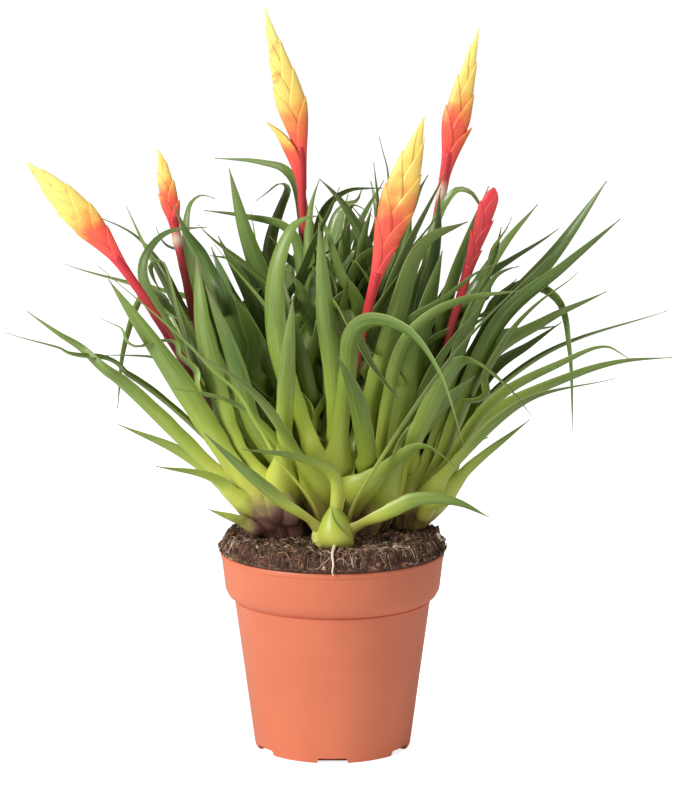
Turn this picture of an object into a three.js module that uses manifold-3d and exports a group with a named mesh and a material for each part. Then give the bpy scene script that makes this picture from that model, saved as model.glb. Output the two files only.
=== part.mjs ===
// A potted bromeliad: a 12 cm nursery pot of thin plastic, a fibrous soil ball, eight leaf
// rosettes and six flower spikes. Millimetres, +Z up, the origin under the middle of the pot.
import * as THREE from 'three';
import { mergeVertices } from 'three/addons/utils/BufferGeometryUtils.js';
import Module from 'manifold-3d';

const wasm = await Module();
wasm.setup();

const UP = new THREE.Vector3(0, 0, 1);
const GAP = 0.35; // air kept between neighbouring pieces

// Pot
const POT_HEIGHT = 107;
const RIM_RADIUS = 60;
const BAND_BOTTOM_RADIUS = 57.6;
const BAND_BOTTOM = 86.5;
const NECK_RADIUS = 53.4;
const NECK_HEIGHT = 80;
const BASE_RADIUS = 42;
const BASE_ROUNDING = 1.5;
const LIP_HEIGHT = 3;
const LIP_DEPTH = 0.5;
const POT_WALL = 1.3;
const POT_FLOOR = 2;
const POT_SIDES = 36;
const NOTCH_COUNT = 6;
const NOTCH_WIDTH = 16;
const NOTCH_HEIGHT = 3;
const NOTCH_DEPTH = 7;
const DRAIN_COUNT = 6;
const DRAIN_RADIUS = 4;
const DRAIN_RING_RADIUS = 22;
const DRAIN_SIDES = 8;

// Soil
const SOIL_RADIUS = 61;
const SOIL_CROWN = 117.5;
const SOIL_SHOULDER = 115.5;
const SOIL_EDGE = 108.5;
const SOIL_EDGE_SHARE = 0.92; // of the radius, where the dome turns down
const SOIL_RINGS = [1, 0.95, 0.85, 0.6, 0.3, 0]; // shares of the radius
const SOIL_SIDES = 28;
const SOIL_BUMP = 0.55;
const SOIL_LUMPS = [[0.9, 0.4], [-0.35, 1.1]]; // waves of the lumps, turn per mm along X and Y

// Rosettes: where each stands on the soil, how far its axis leans along X and Y for each mm that
// it rises, and how many shorter leaves fill it
const ROSETTES = {
  front_left: { x: -27, y: -13, lean: [-0.45, -0.1], fillers: 4 },
  front_middle: { x: 1, y: -32, lean: [0, -0.2], fillers: 3 },
  front_right: { x: 22, y: -5, lean: [0.3, -0.1], fillers: 2 },
  right: { x: 43, y: 6, lean: [0.35, 0.02], fillers: 2 },
  centre: { x: 0, y: -8, lean: [0, 0], fillers: 3 },
  back_right: { x: 25, y: 27, lean: [0.1, 0.1], fillers: 4 },
  back: { x: -4, y: 37, lean: [0, 0.1], fillers: 4 },
  back_left: { x: -31, y: 19, lean: [-0.2, 0.05], fillers: 4 },
};
const ROSETTE_TURN = 61;
const STUB_RADIUS = 5.5;
const STUB_DEPTH = 12;
const HOLE_CLEARANCE = 0.5;
const HOLE_DEPTH = 14;
const CORE_RADIUS = 12.5;
const CORE_HEIGHT = 42;
const CORE_OUTLINE = [[0.9, 0.14], [1, 0.35], [0.7, 0.7]]; // shares of radius and height
const CORE_SIDES = 8;
const SOCKET_FLOOR = 8;

// Leaves
const LEAF_POINTS = 25;
const PLAIN_SECTIONS = [0, 4, 11, 19, 24];
const CURLED_SECTIONS = [0, 4, 8, 12, 16, 20, 24];
const CURLED_WAY = 4; // points on the way of a leaf that curls over
const LEAF_THICKNESS = 1.4;
const SHEATH_HALF_WIDTH = 7.5;
const ROOT_RADIUS = [3, 9]; // from the rosette's axis, for an upright leaf and for a low one
const ROOT_LEAN = [0.1, 0.8];
const ROOT_RISE = 4;
const BULB_REACH = 16;
const BULB_SHARE = 0.3; // of the first stretch, that keeps to the bulb's own line
const TAPER_START = 0.45;
const TAPER_POWER = 2.2;
const SHEATH_END = [0.05, 0.22]; // share of the length over which the sheath narrows to the blade
const CHANNEL_DEPTH = [0.7, 0.35]; // depth over half width, at the root and from CHANNEL_END on
const CHANNEL_END = 0.6;
const TURN_EASE = [0, 0.45]; // share of the length over which a leaf turns about its own line
const TIP_HALF_WIDTH = 0.35;
const TIP_THICKNESS = 0.45; // share of the leaf's thickness
const TIP_SHARE = 0.4; // of the length, over which the leaf thins

// Leaves that reach out of the tuft, laid by hand: width, turn about their own line in degrees,
// the points on the way and the tip
const LONG_LEAVES = {
  front_left: [
    [11, 55, [[-68, -20, 158], [-117, -24, 207], [-160, -20, 239]]],
    [14, 40, [[-62, -30, 172], [-88, -36, 215], [-116, -36, 258]]],
    [10, 60, [[-80, -8, 160], [-114, -4, 176]]],
    [8, 40, [[-63, -34, 152], [-92, -44, 161]]],
    [9, 35, [[-50, -28, 128], [-65, -34, 136]]],
    [13, 20, [[-56, -24, 177], [-68, -26, 227], [-71, -20, 268]]],
    [10, 10, [[-67, -14, 185], [-81, -12, 233], [-90, -10, 264], [-96, -6, 260], [-91, -4, 248]]],
  ],
  front_middle: [
    [10, 35, [[-26, -48, 141], [-45, -58, 160], [-66, -62, 182]]],
    [7, 20, [[1, -50, 156], [-17, -66, 169], [-46, -86, 178]]],
    [10, -65, [[24, -46, 133], [44, -52, 144], [64, -56, 144], [81, -58, 137]]],
  ],
  front_right: [
    [13, -5, [[19, -16, 175], [35, -22, 235], [48, -18, 274], [71, -10, 285]]],
    [14, -45, [[37, -14, 177], [47, -12, 223], [58, -4, 269]]],
    [14, 20, [[40, -26, 164], [56, -28, 187], [75, -26, 206]]],
    [8, -5, [[28, -26, 182], [38, -32, 223], [53, -38, 240], [71, -40, 248], [100, -40, 253]]],
    [12, 0, [[48, -34, 181], [68, -52, 217], [87, -70, 209], [101, -84, 195]]],
  ],
  right: [
    [9, -40, [[78, -4, 175], [127, -8, 202], [152, -8, 210], [180, -4, 212]]],
    [9, -30, [[84, -16, 188], [119, -24, 211], [143, -26, 221], [156, -26, 214]]],
    [10, -65, [[84, 10, 208], [114, 16, 228], [147, 20, 244]]],
    [12, 15, [[85, 20, 220], [120, 28, 263], [147, 32, 302]]],
    [11, -40, [[89, 2, 228], [122, 0, 259], [152, 2, 285]]],
    [9, 25, [[85, 26, 198], [107, 34, 213], [124, 36, 225]]],
    [8, -35, [[73, -12, 153], [104, -18, 181]]],
    [10, -20, [[53, -16, 133], [66, -22, 137]]],
    [6, 0, [[63, 12, 156], [84, 18, 165]]],
    [11, 25, [[71, 14, 229], [92, 22, 268], [110, 28, 290]]],
    [8, -45, [[73, 2, 226], [88, 6, 255], [99, 8, 259]]],
    [10, 0, [[68, 14, 229], [79, 14, 252], [87, 12, 266], [89, 8, 280]]],
  ],
  centre: [
    [12, 40, [[-41, -26, 174], [-54, -30, 220], [-66, -28, 254]]],
    [11, -25, [[31, -36, 159], [48, -50, 172], [67, -66, 162]]],
    [7, 20, [[-17, -22, 152], [-52, -48, 195], [-82, -66, 206]]],
    [13, 15, [[-14, -20, 170], [-30, -34, 223], [-29, -38, 266], [-18, -34, 288], [-6, -30, 290]]],
    [11, 0, [[2, -26, 188], [-4, -34, 247], [-7, -34, 288]]],
    [10, -20, [[6, -36, 195], [15, -60, 237], [37, -80, 237], [53, -94, 219], [67, -98, 180]]],
    [12, 0, [[-1, -14, 191], [2, -30, 242], [16, -56, 221], [36, -72, 198]]],
    [11, 20, [[-11, -12, 180], [-21, -14, 226], [-25, -8, 254]]],
    [12, 45, [[-25, -10, 185], [-41, -8, 222], [-55, -2, 253]]],
  ],
  back_right: [
    [10, -40, [[80, 28, 214], [101, 28, 244], [119, 22, 239], [126, 14, 213], [129, 12, 170]]],
    [11, -20, [[44, 20, 218], [55, 24, 260], [58, 28, 299]]],
    [9, 25, [[50, 32, 221], [54, 34, 270], [64, 32, 297], [74, 28, 296], [83, 26, 281]]],
    [10, -25, [[58, 14, 213], [69, 16, 261], [83, 16, 301]]],
    [10, 0, [[23, 34, 237], [40, 38, 282], [55, 42, 303]]],
    [12, 0, [[33, 10, 225], [39, 12, 262], [42, 12, 286]]],
    [10, 0, [[26, 24, 239], [21, 22, 263], [12, 20, 282], [3, 18, 295], [-7, 16, 305]]],
  ],
  back: [
    [7, 0, [[-7, 38, 237], [-6, 40, 283], [7, 38, 296], [27, 34, 298]]],
    [8, -30, [[8, 34, 237], [11, 38, 288], [23, 34, 282]]],
    [13, 0, [[5, 22, 223], [5, 26, 278]]],
    [8, 0, [[19, 28, 260], [25, 30, 289], [22, 32, 312]]],
    [8, 0, [[23, 36, 248], [30, 38, 302], [25, 40, 325]]],
    [8, 0, [[-12, 20, 223], [-13, 24, 279], [-9, 26, 304]]],
    [8, 0, [[-15, 26, 238], [-23, 26, 275], [-47, 30, 283], [-69, 34, 286]]],
    [8, 0, [[-14, 44, 258], [-23, 46, 304], [-38, 50, 310], [-64, 56, 312]]],
    [10, -25, [[-36, 50, 260], [-25, 54, 299], [-42, 62, 288]]],
  ],
  back_left: [
    [14, 0, [[-38, 0, 191], [-58, -4, 240], [-80, 0, 280]]],
    [11, 0, [[-38, 10, 225], [-61, 12, 275]]],
    [12, 0, [[-32, 16, 224], [-48, 18, 280], [-55, 20, 310]]],
    [9, 35, [[-79, 4, 209], [-102, 6, 258], [-89, 10, 277], [-67, 14, 279]]],
    [9, 35, [[-68, 16, 229], [-79, 20, 280], [-73, 24, 295], [-63, 28, 293]]],
    [9, 10, [[-89, 14, 246], [-100, 18, 267], [-110, 20, 290]]],
    [7, 0, [[-85, 26, 244], [-106, 32, 272], [-130, 36, 284]]],
    [8, 0, [[-71, 12, 186], [-93, 16, 207], [-109, 20, 209], [-126, 22, 209]]],
    [6, 0, [[-80, 30, 216], [-99, 40, 241], [-113, 48, 211], [-118, 50, 175]]],
    [10, 0, [[-38, 22, 239], [-52, 26, 259], [-66, 30, 262]]],
  ],
};

// Shorter leaves that fill each rosette by rule
const GOLDEN_TURN = 137.508;
const FILLER_LENGTH = [150, 200];
const FILLER_WIDTH = [8, 12];
const FILLER_LEAN = [12, 44];
const FILLER_FACING = 0.75; // share of the lean that comes from facing outward
const FILLER_BEND = [15, 55];
const FILLER_TURN = [-20, 20];
const FILLER_STEPS = 20;
const FILLER_STOPS = [6, 13, 20]; // steps that become points on a filling leaf's way
const CLUMP_MIDDLE_Y = 4;
const SEED = 20;
const DRAWS_PER_LEAF = 5;
const DRAW_STRETCH = [12.9898, 43758.5453]; // large odd factors that scatter the draws

// Flower spikes: the points on the way from the rosette to the tip, and the share of the way
// where the head begins. A head's half width goes from foot to full at the share peak, then
// narrows the faster the smaller beak is. The lowest bract is on the side given, and its tip
// stands out by splay.
const SPIKES = {
  front_left: {
    way: [[-77, -22, 211], [-101, -25, 251], [-121, -26, 279], [-158, -26, 318]],
    head: 0.62, foot: 2.8, full: 8, peak: 0.55, beak: 1.9, side: 1, splay: 0,
  },
  back_left: {
    way: [[-70, 22, 215], [-80, 26, 256], [-93, 34, 319]],
    head: 0.76, foot: 2.8, full: 4.4, peak: 0.4, beak: 2, side: 1, splay: 0,
  },
  back: {
    way: [[-9, 32, 215], [-16, 31, 285], [-18, 30, 325], [-36, 26, 394]],
    head: 0.63, foot: 3, full: 8, peak: 0.5, beak: 1.2, side: -1, splay: 8,
  },
  centre: {
    way: [[8, -16, 190], [21, -32, 252], [33, -40, 296], [47, -44, 342]],
    head: 0.5, foot: 2.8, full: 9.2, peak: 0.6, beak: 1.5, side: 1, splay: 0,
  },
  back_right: {
    way: [[46, 38, 237], [57, 40, 285], [63, 40, 318], [78, 40, 383]],
    head: 0.66, foot: 3.2, full: 7.5, peak: 0.45, beak: 1.2, side: 1, splay: 1.5,
  },
  right: {
    way: [[58, 8, 203], [69, 6, 247], [85, 0, 302]],
    head: 0.68, foot: 3, full: 4.8, peak: 0.7, beak: 5, side: 1, splay: 0,
  },
};
const SPIKE_POINTS = 25;
const SCAPE_RADIUS = 2.3;
const SCAPE_SIDES = 6;
const SCAPE_STRAIGHT = 20; // the stretch above the socket that keeps to the rosette's axis
const HEAD_SWELL = 1.4; // the larger, the later a head swells
const HEAD_FLATNESS = 0.42; // half depth over half width of a head
const BUD_SHARE = 0.5; // of the head's half width, filled by the closed bud between the bracts
const BUD_TIP = 0.4;
const BRACT_COUNT = 7;
const BRACT_SPAN = 0.62; // of the head, over which the bracts begin
const BRACT_LENGTH = [0.4, 0.38]; // share of the head, for the lowest bract and for the last
const BRACT_SECTIONS = 3;
const BRACT_RISE = [-0.25, 0.45]; // share of a bract over which its keel comes out to the outline
const BRACT_FOOT = 0.2; // of a half turn of the sine that gives a bract its body
const BRACT_PAST_MIDDLE = 0.35; // of the head's half width, that a bract laps past the middle
const BRACT_LEAST = 0.7;
const BRACT_EDGE = 0.3;
const BRACT_BELLY = 0.4; // of the way from inner edge to keel, where a bract is deepest
const BRACT_TIP_STANDS_OUT = 1.2;

// Leaves that come too close are bent apart
const BEND_PASSES = 36;
const ROOM_OTHER_ROSETTE = 8.5;
const ROOM_SAME_ROSETTE = 8;
const ROOM_SCAPE = 8.5;
const ROOM_BRACTS = 13;
const BEND_SEARCH = 26;
const BEND_STEP = 1.6;
const BEND_SHARE = 0.35;
const ROOT_HOLD = [0.03, 0.2]; // share of a leaf over which it comes free of its root
const SHEATH_NEST = [0.04, 0.2]; // share of a leaf over which leaves of one rosette part
const LONG_LEAF_HOLD = 0.25; // long leaves keep their outline: they give way mostly in depth

const FINISHES = {
  pot: { color: 0xe5815f, roughness: 0.6, metalness: 0 },
  soil: { color: 0x4a3226, roughness: 0.95, metalness: 0 },
  leaf: { color: 0x5f7d33, roughness: 0.45, metalness: 0 },
  bract: { color: 0xe8502e, roughness: 0.45, metalness: 0 },
};

const smooth = (low, high, value) => THREE.MathUtils.smoothstep(value, low, high);
const blend = THREE.MathUtils.lerp;
const radians = THREE.MathUtils.degToRad;

// A repeatable draw between 0 and 1 from a whole number
function draw(index) {
  const mixed = Math.sin((index + SEED) * DRAW_STRETCH[0]) * DRAW_STRETCH[1];
  return mixed - Math.floor(mixed);
}

// Height of the soil's top at a distance from the pot's axis
function soilHeight(radius) {
  const share = Math.min(radius / SOIL_RADIUS, 1);
  const dome = SOIL_CROWN - (SOIL_CROWN - SOIL_SHOULDER) * share * share;
  return blend(dome, SOIL_EDGE, smooth(SOIL_EDGE_SHARE, 1, share));
}

function solidOf(geometry) {
  const bare = new THREE.BufferGeometry();
  bare.setAttribute('position', geometry.getAttribute('position'));
  if (geometry.getIndex()) bare.setIndex(geometry.getIndex());
  const merged = mergeVertices(bare, 1e-3);
  const kept = [];
  const index = merged.getIndex().array;
  for (let i = 0; i < index.length; i += 3) {
    const [a, b, c] = [index[i], index[i + 1], index[i + 2]];
    if (a !== b && b !== c && c !== a) kept.push(a, b, c);
  }
  return new wasm.Manifold(new wasm.Mesh({
    numProp: 3,
    vertProperties: new Float32Array(merged.getAttribute('position').array),
    triVerts: new Uint32Array(kept),
  }));
}

function geometryOf(solid) {
  const mesh = solid.getMesh();
  const positions = [];
  for (let i = 0; i < mesh.vertProperties.length; i += mesh.numProp) {
    positions.push(...mesh.vertProperties.slice(i, i + 3));
  }
  const geometry = new THREE.BufferGeometry();
  geometry.setAttribute('position', new THREE.Float32BufferAttribute(positions, 3));
  geometry.setIndex(Array.from(mesh.triVerts));
  const merged = mergeVertices(geometry, 1e-3);
  merged.computeVertexNormals();
  return merged;
}

const united = (solids) => solids.reduce((whole, solid) => whole.add(solid));

// The outer skin of the largest body: scraps cut loose are dropped and sealed hollows are filled
function largestBody(solid) {
  const mesh = solid.getMesh();
  const corner = (vertex) => new THREE.Vector3(...mesh.vertProperties.slice(vertex * 3, vertex * 3 + 3));
  const group = Array.from({ length: mesh.vertProperties.length / 3 }, (unused, i) => i);
  const find = (vertex) => {
    let top = vertex;
    while (group[top] !== top) top = group[top];
    group[vertex] = top;
    return top;
  };
  for (let i = 0; i < mesh.triVerts.length; i += 3) {
    const top = find(mesh.triVerts[i]);
    group[find(mesh.triVerts[i + 1])] = top;
    group[find(mesh.triVerts[i + 2])] = top;
  }
  const skins = new Map();
  for (let i = 0; i < mesh.triVerts.length; i += 3) {
    const triangle = mesh.triVerts.slice(i, i + 3);
    const [a, b, c] = Array.from(triangle, corner);
    const top = find(triangle[0]);
    if (!skins.has(top)) skins.set(top, { volume: 0, triangles: [] });
    skins.get(top).volume += a.dot(b.cross(c));
    skins.get(top).triangles.push(...triangle);
  }
  const best = [...skins.values()].reduce((one, other) => (other.volume > one.volume ? other : one));
  return new wasm.Manifold(new wasm.Mesh({
    numProp: 3,
    vertProperties: mesh.vertProperties,
    triVerts: new Uint32Array(best.triangles),
  }));
}

// A closed skin over rings of points, each ring with the same count, ends closed by fans; both
// halves of the way round are split alike
function skin(rings) {
  const positions = rings.flat().flatMap((point) => [point.x, point.y, point.z]);
  const around = rings[0].length;
  const last = rings.length - 1;
  const index = [];
  for (let row = 0; row < last; row += 1) {
    for (let i = 0; i < around; i += 1) {
      const next = (i + 1) % around;
      const [a, b] = [row * around + i, row * around + next];
      const [c, d] = [a + around, b + around];
      if (i < around / 2) index.push(a, b, d, a, d, c);
      else index.push(a, b, c, b, d, c);
    }
  }
  for (let i = 1; i < around - 1; i += 1) {
    index.push(0, i + 1, i);
    index.push(last * around, last * around + i, last * around + i + 1);
  }
  const geometry = new THREE.BufferGeometry();
  geometry.setAttribute('position', new THREE.Float32BufferAttribute(positions, 3));
  geometry.setIndex(index);
  return geometry;
}

// Pot: a thin wall with a deep rim band, drain holes in the floor and notches round its edge
function potSolid() {
  const profile = [
    [0, 0],
    [BASE_RADIUS - BASE_ROUNDING, 0],
    [BASE_RADIUS, BASE_ROUNDING],
    [NECK_RADIUS, NECK_HEIGHT],
    [BAND_BOTTOM_RADIUS, BAND_BOTTOM],
    [RIM_RADIUS - LIP_DEPTH, POT_HEIGHT - LIP_HEIGHT],
    [RIM_RADIUS, POT_HEIGHT - LIP_HEIGHT + LIP_DEPTH],
    [RIM_RADIUS, POT_HEIGHT - LIP_DEPTH],
    [RIM_RADIUS - LIP_DEPTH, POT_HEIGHT],
    [RIM_RADIUS - POT_WALL - LIP_DEPTH, POT_HEIGHT],
    [BAND_BOTTOM_RADIUS - POT_WALL, BAND_BOTTOM + POT_WALL / 2],
    [NECK_RADIUS - POT_WALL, NECK_HEIGHT + POT_WALL / 2],
    [BASE_RADIUS - POT_WALL, POT_FLOOR + BASE_ROUNDING],
    [BASE_RADIUS - POT_WALL - BASE_ROUNDING, POT_FLOOR],
    [0, POT_FLOOR],
  ];
  const lathe = new THREE.LatheGeometry(profile.map(([r, z]) => new THREE.Vector2(r, z)), POT_SIDES);
  lathe.rotateX(Math.PI / 2);
  let pot = solidOf(lathe);
  for (let i = 0; i < NOTCH_COUNT; i += 1) {
    const notch = new THREE.BoxGeometry(NOTCH_WIDTH, NOTCH_DEPTH * 2, NOTCH_HEIGHT * 2);
    notch.translate(0, BASE_RADIUS, 0);
    notch.rotateZ(i * 2 * Math.PI / NOTCH_COUNT);
    pot = pot.subtract(solidOf(notch));
  }
  for (let i = 0; i < DRAIN_COUNT; i += 1) {
    const hole = new THREE.CylinderGeometry(DRAIN_RADIUS, DRAIN_RADIUS, POT_FLOOR * 3, DRAIN_SIDES);
    hole.rotateX(Math.PI / 2);
    hole.translate(0, DRAIN_RING_RADIUS, 0);
    hole.rotateZ((i + 0.5) * 2 * Math.PI / DRAIN_COUNT);
    pot = pot.subtract(solidOf(hole));
  }
  return pot;
}

// Soil: fills the pot, domes above it and laps a little over the rim
function soilSolid() {
  const inset = POT_WALL + GAP;
  const profile = [
    [0, POT_FLOOR + GAP],
    [BASE_RADIUS - inset - BASE_ROUNDING, POT_FLOOR + GAP],
    [BASE_RADIUS - inset, POT_FLOOR + GAP + BASE_ROUNDING],
    [NECK_RADIUS - inset, NECK_HEIGHT + POT_WALL / 2],
    [BAND_BOTTOM_RADIUS - inset, BAND_BOTTOM + POT_WALL / 2 + GAP],
    [RIM_RADIUS - inset - LIP_DEPTH, POT_HEIGHT + GAP],
    [RIM_RADIUS, POT_HEIGHT + GAP],
    ...SOIL_RINGS.map((share) => [SOIL_RADIUS * share, soilHeight(SOIL_RADIUS * share)]),
  ];
  const lathe = new THREE.LatheGeometry(profile.map(([r, z]) => new THREE.Vector2(r, z)), SOIL_SIDES);
  lathe.rotateX(Math.PI / 2);
  const place = lathe.getAttribute('position');
  for (let i = 0; i < place.count; i += 1) {
    const [x, y, z] = [place.getX(i), place.getY(i), place.getZ(i)];
    if (z > POT_HEIGHT + 1 && Math.hypot(x, y) > 1) {
      const lump = SOIL_LUMPS.reduce((sum, [alongX, alongY]) => sum + Math.sin(x * alongX + y * alongY), 0);
      place.setZ(i, z + SOIL_BUMP * lump);
    }
  }
  return solidOf(lathe);
}

// A round geometry built up its own Y, stood on the soil along a rosette's axis
function stoodOn(rosette, geometry) {
  const ownAxis = new THREE.Vector3(0, 1, 0);
  geometry.applyQuaternion(new THREE.Quaternion().setFromUnitVectors(ownAxis, rosette.axis));
  geometry.translate(...rosette.foot.toArray());
  return solidOf(geometry);
}

// The stub and bulb that a rosette's leaves are rooted in, fattened where asked
function coreSolid(rosette, grow) {
  const profile = [
    [0, -STUB_DEPTH - grow],
    [STUB_RADIUS + grow, -STUB_DEPTH - grow],
    [STUB_RADIUS + grow, 1],
    ...CORE_OUTLINE.map(([wide, high]) => [(CORE_RADIUS + grow) * wide, CORE_HEIGHT * high]),
    [0, CORE_HEIGHT + grow],
  ];
  const outline = profile.map(([radius, height]) => new THREE.Vector2(radius, height));
  return stoodOn(rosette, new THREE.LatheGeometry(outline, CORE_SIDES));
}

function holeSolid(rosette) {
  const radius = STUB_RADIUS + HOLE_CLEARANCE;
  return stoodOn(rosette, new THREE.CylinderGeometry(radius, radius, HOLE_DEPTH * 2, CORE_SIDES));
}

// A leaf's line: it rises out of the bulb, then follows its way to the tip
function leafLine(rosette, way) {
  const first = new THREE.Vector3(...way[0]);
  const root = rosette.foot.clone().addScaledVector(rosette.axis, ROOT_RISE);
  const out = first.clone().sub(root);
  const distance = out.length();
  out.addScaledVector(rosette.axis, -out.dot(rosette.axis));
  const leaning = out.length() / distance;
  root.addScaledVector(out.normalize(), blend(...ROOT_RADIUS, smooth(...ROOT_LEAN, leaning)));
  const reach = Math.min(first.distanceTo(root) * BULB_SHARE, BULB_REACH);
  const rise = first.clone().sub(root).normalize().add(rosette.axis).multiplyScalar(reach / 2).add(root);
  const points = [root, rise, ...way.map((point) => new THREE.Vector3(...point))];
  const curve = new THREE.CatmullRomCurve3(points, false, 'centripetal');
  return curve.getSpacedPoints(LEAF_POINTS - 1);
}

// A filling leaf's way: a stem line that leans out and bends over with its length
function fillerWay(rosette, number, seed) {
  const heading = radians(number * GOLDEN_TURN + rosette.heading);
  const outward = Math.atan2(rosette.y - CLUMP_MIDDLE_Y, rosette.x);
  const facing = 0.5 + 0.5 * Math.cos(heading - outward);
  const lean = radians(blend(...FILLER_LEAN, blend(draw(seed), facing, FILLER_FACING)));
  const length = blend(...FILLER_LENGTH, draw(seed + 1));
  const bend = radians(blend(...FILLER_BEND, facing * draw(seed + 2)));
  const point = rosette.foot.clone().addScaledVector(rosette.axis, ROOT_RISE);
  const way = [];
  for (let i = 1; i <= FILLER_STEPS; i += 1) {
    const share = i / FILLER_STEPS;
    const tilt = lean + bend * share * share;
    const step = new THREE.Vector3(
      Math.cos(heading) * Math.sin(tilt),
      Math.sin(heading) * Math.sin(tilt),
      Math.cos(tilt),
    );
    point.addScaledVector(step, length / FILLER_STEPS);
    if (FILLER_STOPS.includes(i)) way.push(point.toArray());
  }
  return way;
}

function makeLeaves(rosettes) {
  const leaves = [];
  for (const [name, rosette] of Object.entries(rosettes)) {
    for (const [width, turn, way] of LONG_LEAVES[name]) {
      const sections = way.length < CURLED_WAY ? PLAIN_SECTIONS : CURLED_SECTIONS;
      const points = leafLine(rosette, way);
      leaves.push({ name, width, turn: radians(turn), long: true, sections, points });
    }
    for (let i = 0; i < rosette.fillers; i += 1) {
      const seed = leaves.length * DRAWS_PER_LEAF;
      const width = blend(...FILLER_WIDTH, draw(seed + 3));
      const turn = radians(blend(...FILLER_TURN, draw(seed + 4)));
      const points = leafLine(rosette, fillerWay(rosette, i, seed));
      leaves.push({ name, width, turn, long: false, sections: PLAIN_SECTIONS, points });
    }
  }
  return leaves;
}

function makeSpikeLines(rosettes) {
  return Object.entries(SPIKES).map(([name, spike]) => {
    const rosette = rosettes[name];
    const root = rosette.foot.clone().addScaledVector(rosette.axis, SOCKET_FLOOR);
    const above = root.clone().addScaledVector(rosette.axis, SCAPE_STRAIGHT);
    const points = [root, above, ...spike.way.map((point) => new THREE.Vector3(...point))];
    const curve = new THREE.CatmullRomCurve3(points, false, 'centripetal');
    return { name, ...spike, points: curve.getSpacedPoints(SPIKE_POINTS - 1) };
  });
}

// Bends leaves apart where they come closer than their room; roots and spikes stay where they are
function bendApart(leaves, spikes) {
  const lines = [
    ...leaves.map((leaf) => ({ ...leaf, fixed: false })),
    ...spikes.map((spike) => ({ ...spike, fixed: true })),
  ];
  const points = lines.flatMap((line) => line.points);
  const owner = lines.flatMap((line, number) => line.points.map(() => number));
  const share = lines.flatMap((line) => line.points.map((point, i) => i / (line.points.length - 1)));
  const room = (a, b) => {
    const [first, second] = [lines[owner[a]], lines[owner[b]]];
    if (first.fixed && second.fixed) return 0;
    if (second.fixed) return share[b] > second.head ? ROOM_BRACTS : ROOM_SCAPE;
    if (first.name !== second.name) return ROOM_OTHER_ROSETTE;
    return ROOM_SAME_ROSETTE * smooth(...SHEATH_NEST, Math.min(share[a], share[b]));
  };
  const pairs = [];
  for (let a = 0; a < points.length; a += 1) {
    for (let b = a + 1; b < points.length; b += 1) {
      if (owner[a] === owner[b] || points[a].distanceTo(points[b]) > BEND_SEARCH) continue;
      const need = room(a, b);
      if (need > 0) pairs.push([a, b, need]);
    }
  }
  for (let pass = 0; pass < BEND_PASSES; pass += 1) {
    const push = points.map(() => new THREE.Vector3());
    for (const [a, b, need] of pairs) {
      const between = points[a].clone().sub(points[b]);
      const distance = Math.max(between.length(), 0.01);
      if (distance >= need) continue;
      between.multiplyScalar(BEND_SHARE * (need - distance) / distance);
      push[a].add(between);
      push[b].sub(between);
    }
    push.forEach((shift) => shift.clampLength(0, BEND_STEP));
    const eased = push.map((shift, i) => {
      const before = owner[i - 1] === owner[i] ? push[i - 1] : shift;
      const after = owner[i + 1] === owner[i] ? push[i + 1] : shift;
      return shift.clone().multiplyScalar(2).add(before).add(after).multiplyScalar(0.25);
    });
    eased.forEach((shift, i) => {
      const line = lines[owner[i]];
      if (line.fixed) return;
      const weight = smooth(...ROOT_HOLD, share[i]);
      const across = line.long ? LONG_LEAF_HOLD : 1;
      points[i].x += shift.x * weight * across;
      points[i].y += shift.y * weight;
      points[i].z += shift.z * weight * across;
    });
  }
}

// Side and face directions along a line, carried without twist and then turned
function carryFrames(points, side, turn) {
  const last = points.length - 1;
  return points.map((point, i) => {
    const along = points[Math.min(i + 1, last)].clone().sub(points[Math.max(i - 1, 0)]).normalize();
    side.addScaledVector(along, -along.dot(side)).normalize();
    const turned = side.clone().applyAxisAngle(along, turn * smooth(...TURN_EASE, i / last));
    return { point, share: i / last, side: turned, face: new THREE.Vector3().crossVectors(along, turned) };
  });
}

// A leaf: a channelled blade with a wide sheath at its root, fattened where asked
function leafSolid(leaf, grow) {
  const middle = leaf.points[Math.floor(LEAF_POINTS / 2)];
  const out = middle.clone().sub(leaf.points[0]).setZ(0).normalize();
  const frames = carryFrames(leaf.points, new THREE.Vector3().crossVectors(UP, out), leaf.turn);
  const rings = [];
  for (const i of leaf.sections) {
    const { point, share, side, face } = frames[i];
    const narrowing = 1 - Math.max(0, (share - TAPER_START) / (1 - TAPER_START)) ** TAPER_POWER;
    const sheath = (SHEATH_HALF_WIDTH - leaf.width / 2) * (1 - smooth(...SHEATH_END, share));
    const half = Math.max(leaf.width / 2 * narrowing + sheath, TIP_HALF_WIDTH);
    const fold = half * blend(...CHANNEL_DEPTH, smooth(0, CHANNEL_END, share));
    const thick = LEAF_THICKNESS * blend(TIP_THICKNESS, 1, smooth(0, TIP_SHARE, 1 - share)) / 2 + grow;
    const edge = half + grow;
    const past = new THREE.Vector3().crossVectors(side, face).multiplyScalar(share === 1 ? grow : 0);
    const at = (across, up) => point.clone()
      .add(past)
      .addScaledVector(side, across)
      .addScaledVector(face, up);
    const lower = [at(-edge, fold - grow), at(0, -thick), at(edge, fold - grow)];
    const upper = [at(edge, fold + grow), at(0, thick), at(-edge, fold + grow)];
    rings.push(grow > 0 ? [...lower, ...upper] : [...lower, upper[1]]);
  }
  return solidOf(skin(rings));
}

// Half width of a flower head along its length: a narrow foot, a full middle and a beak
function headHalfWidth(spike, share) {
  if (share < spike.peak) {
    return blend(spike.foot, spike.full, smooth(0, spike.peak, share) ** HEAD_SWELL);
  }
  return spike.full * (1 - ((share - spike.peak) / (1 - spike.peak)) ** spike.beak);
}

// Directions across a spike at a point: the heads turn their flat faces to the front
function spikeFrame(curve, way) {
  const along = curve.getTangentAt(way);
  const side = new THREE.Vector3(1, 0, 0).addScaledVector(along, -along.x).normalize();
  return { point: curve.getPointAt(way), side, face: new THREE.Vector3().crossVectors(along, side) };
}

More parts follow.
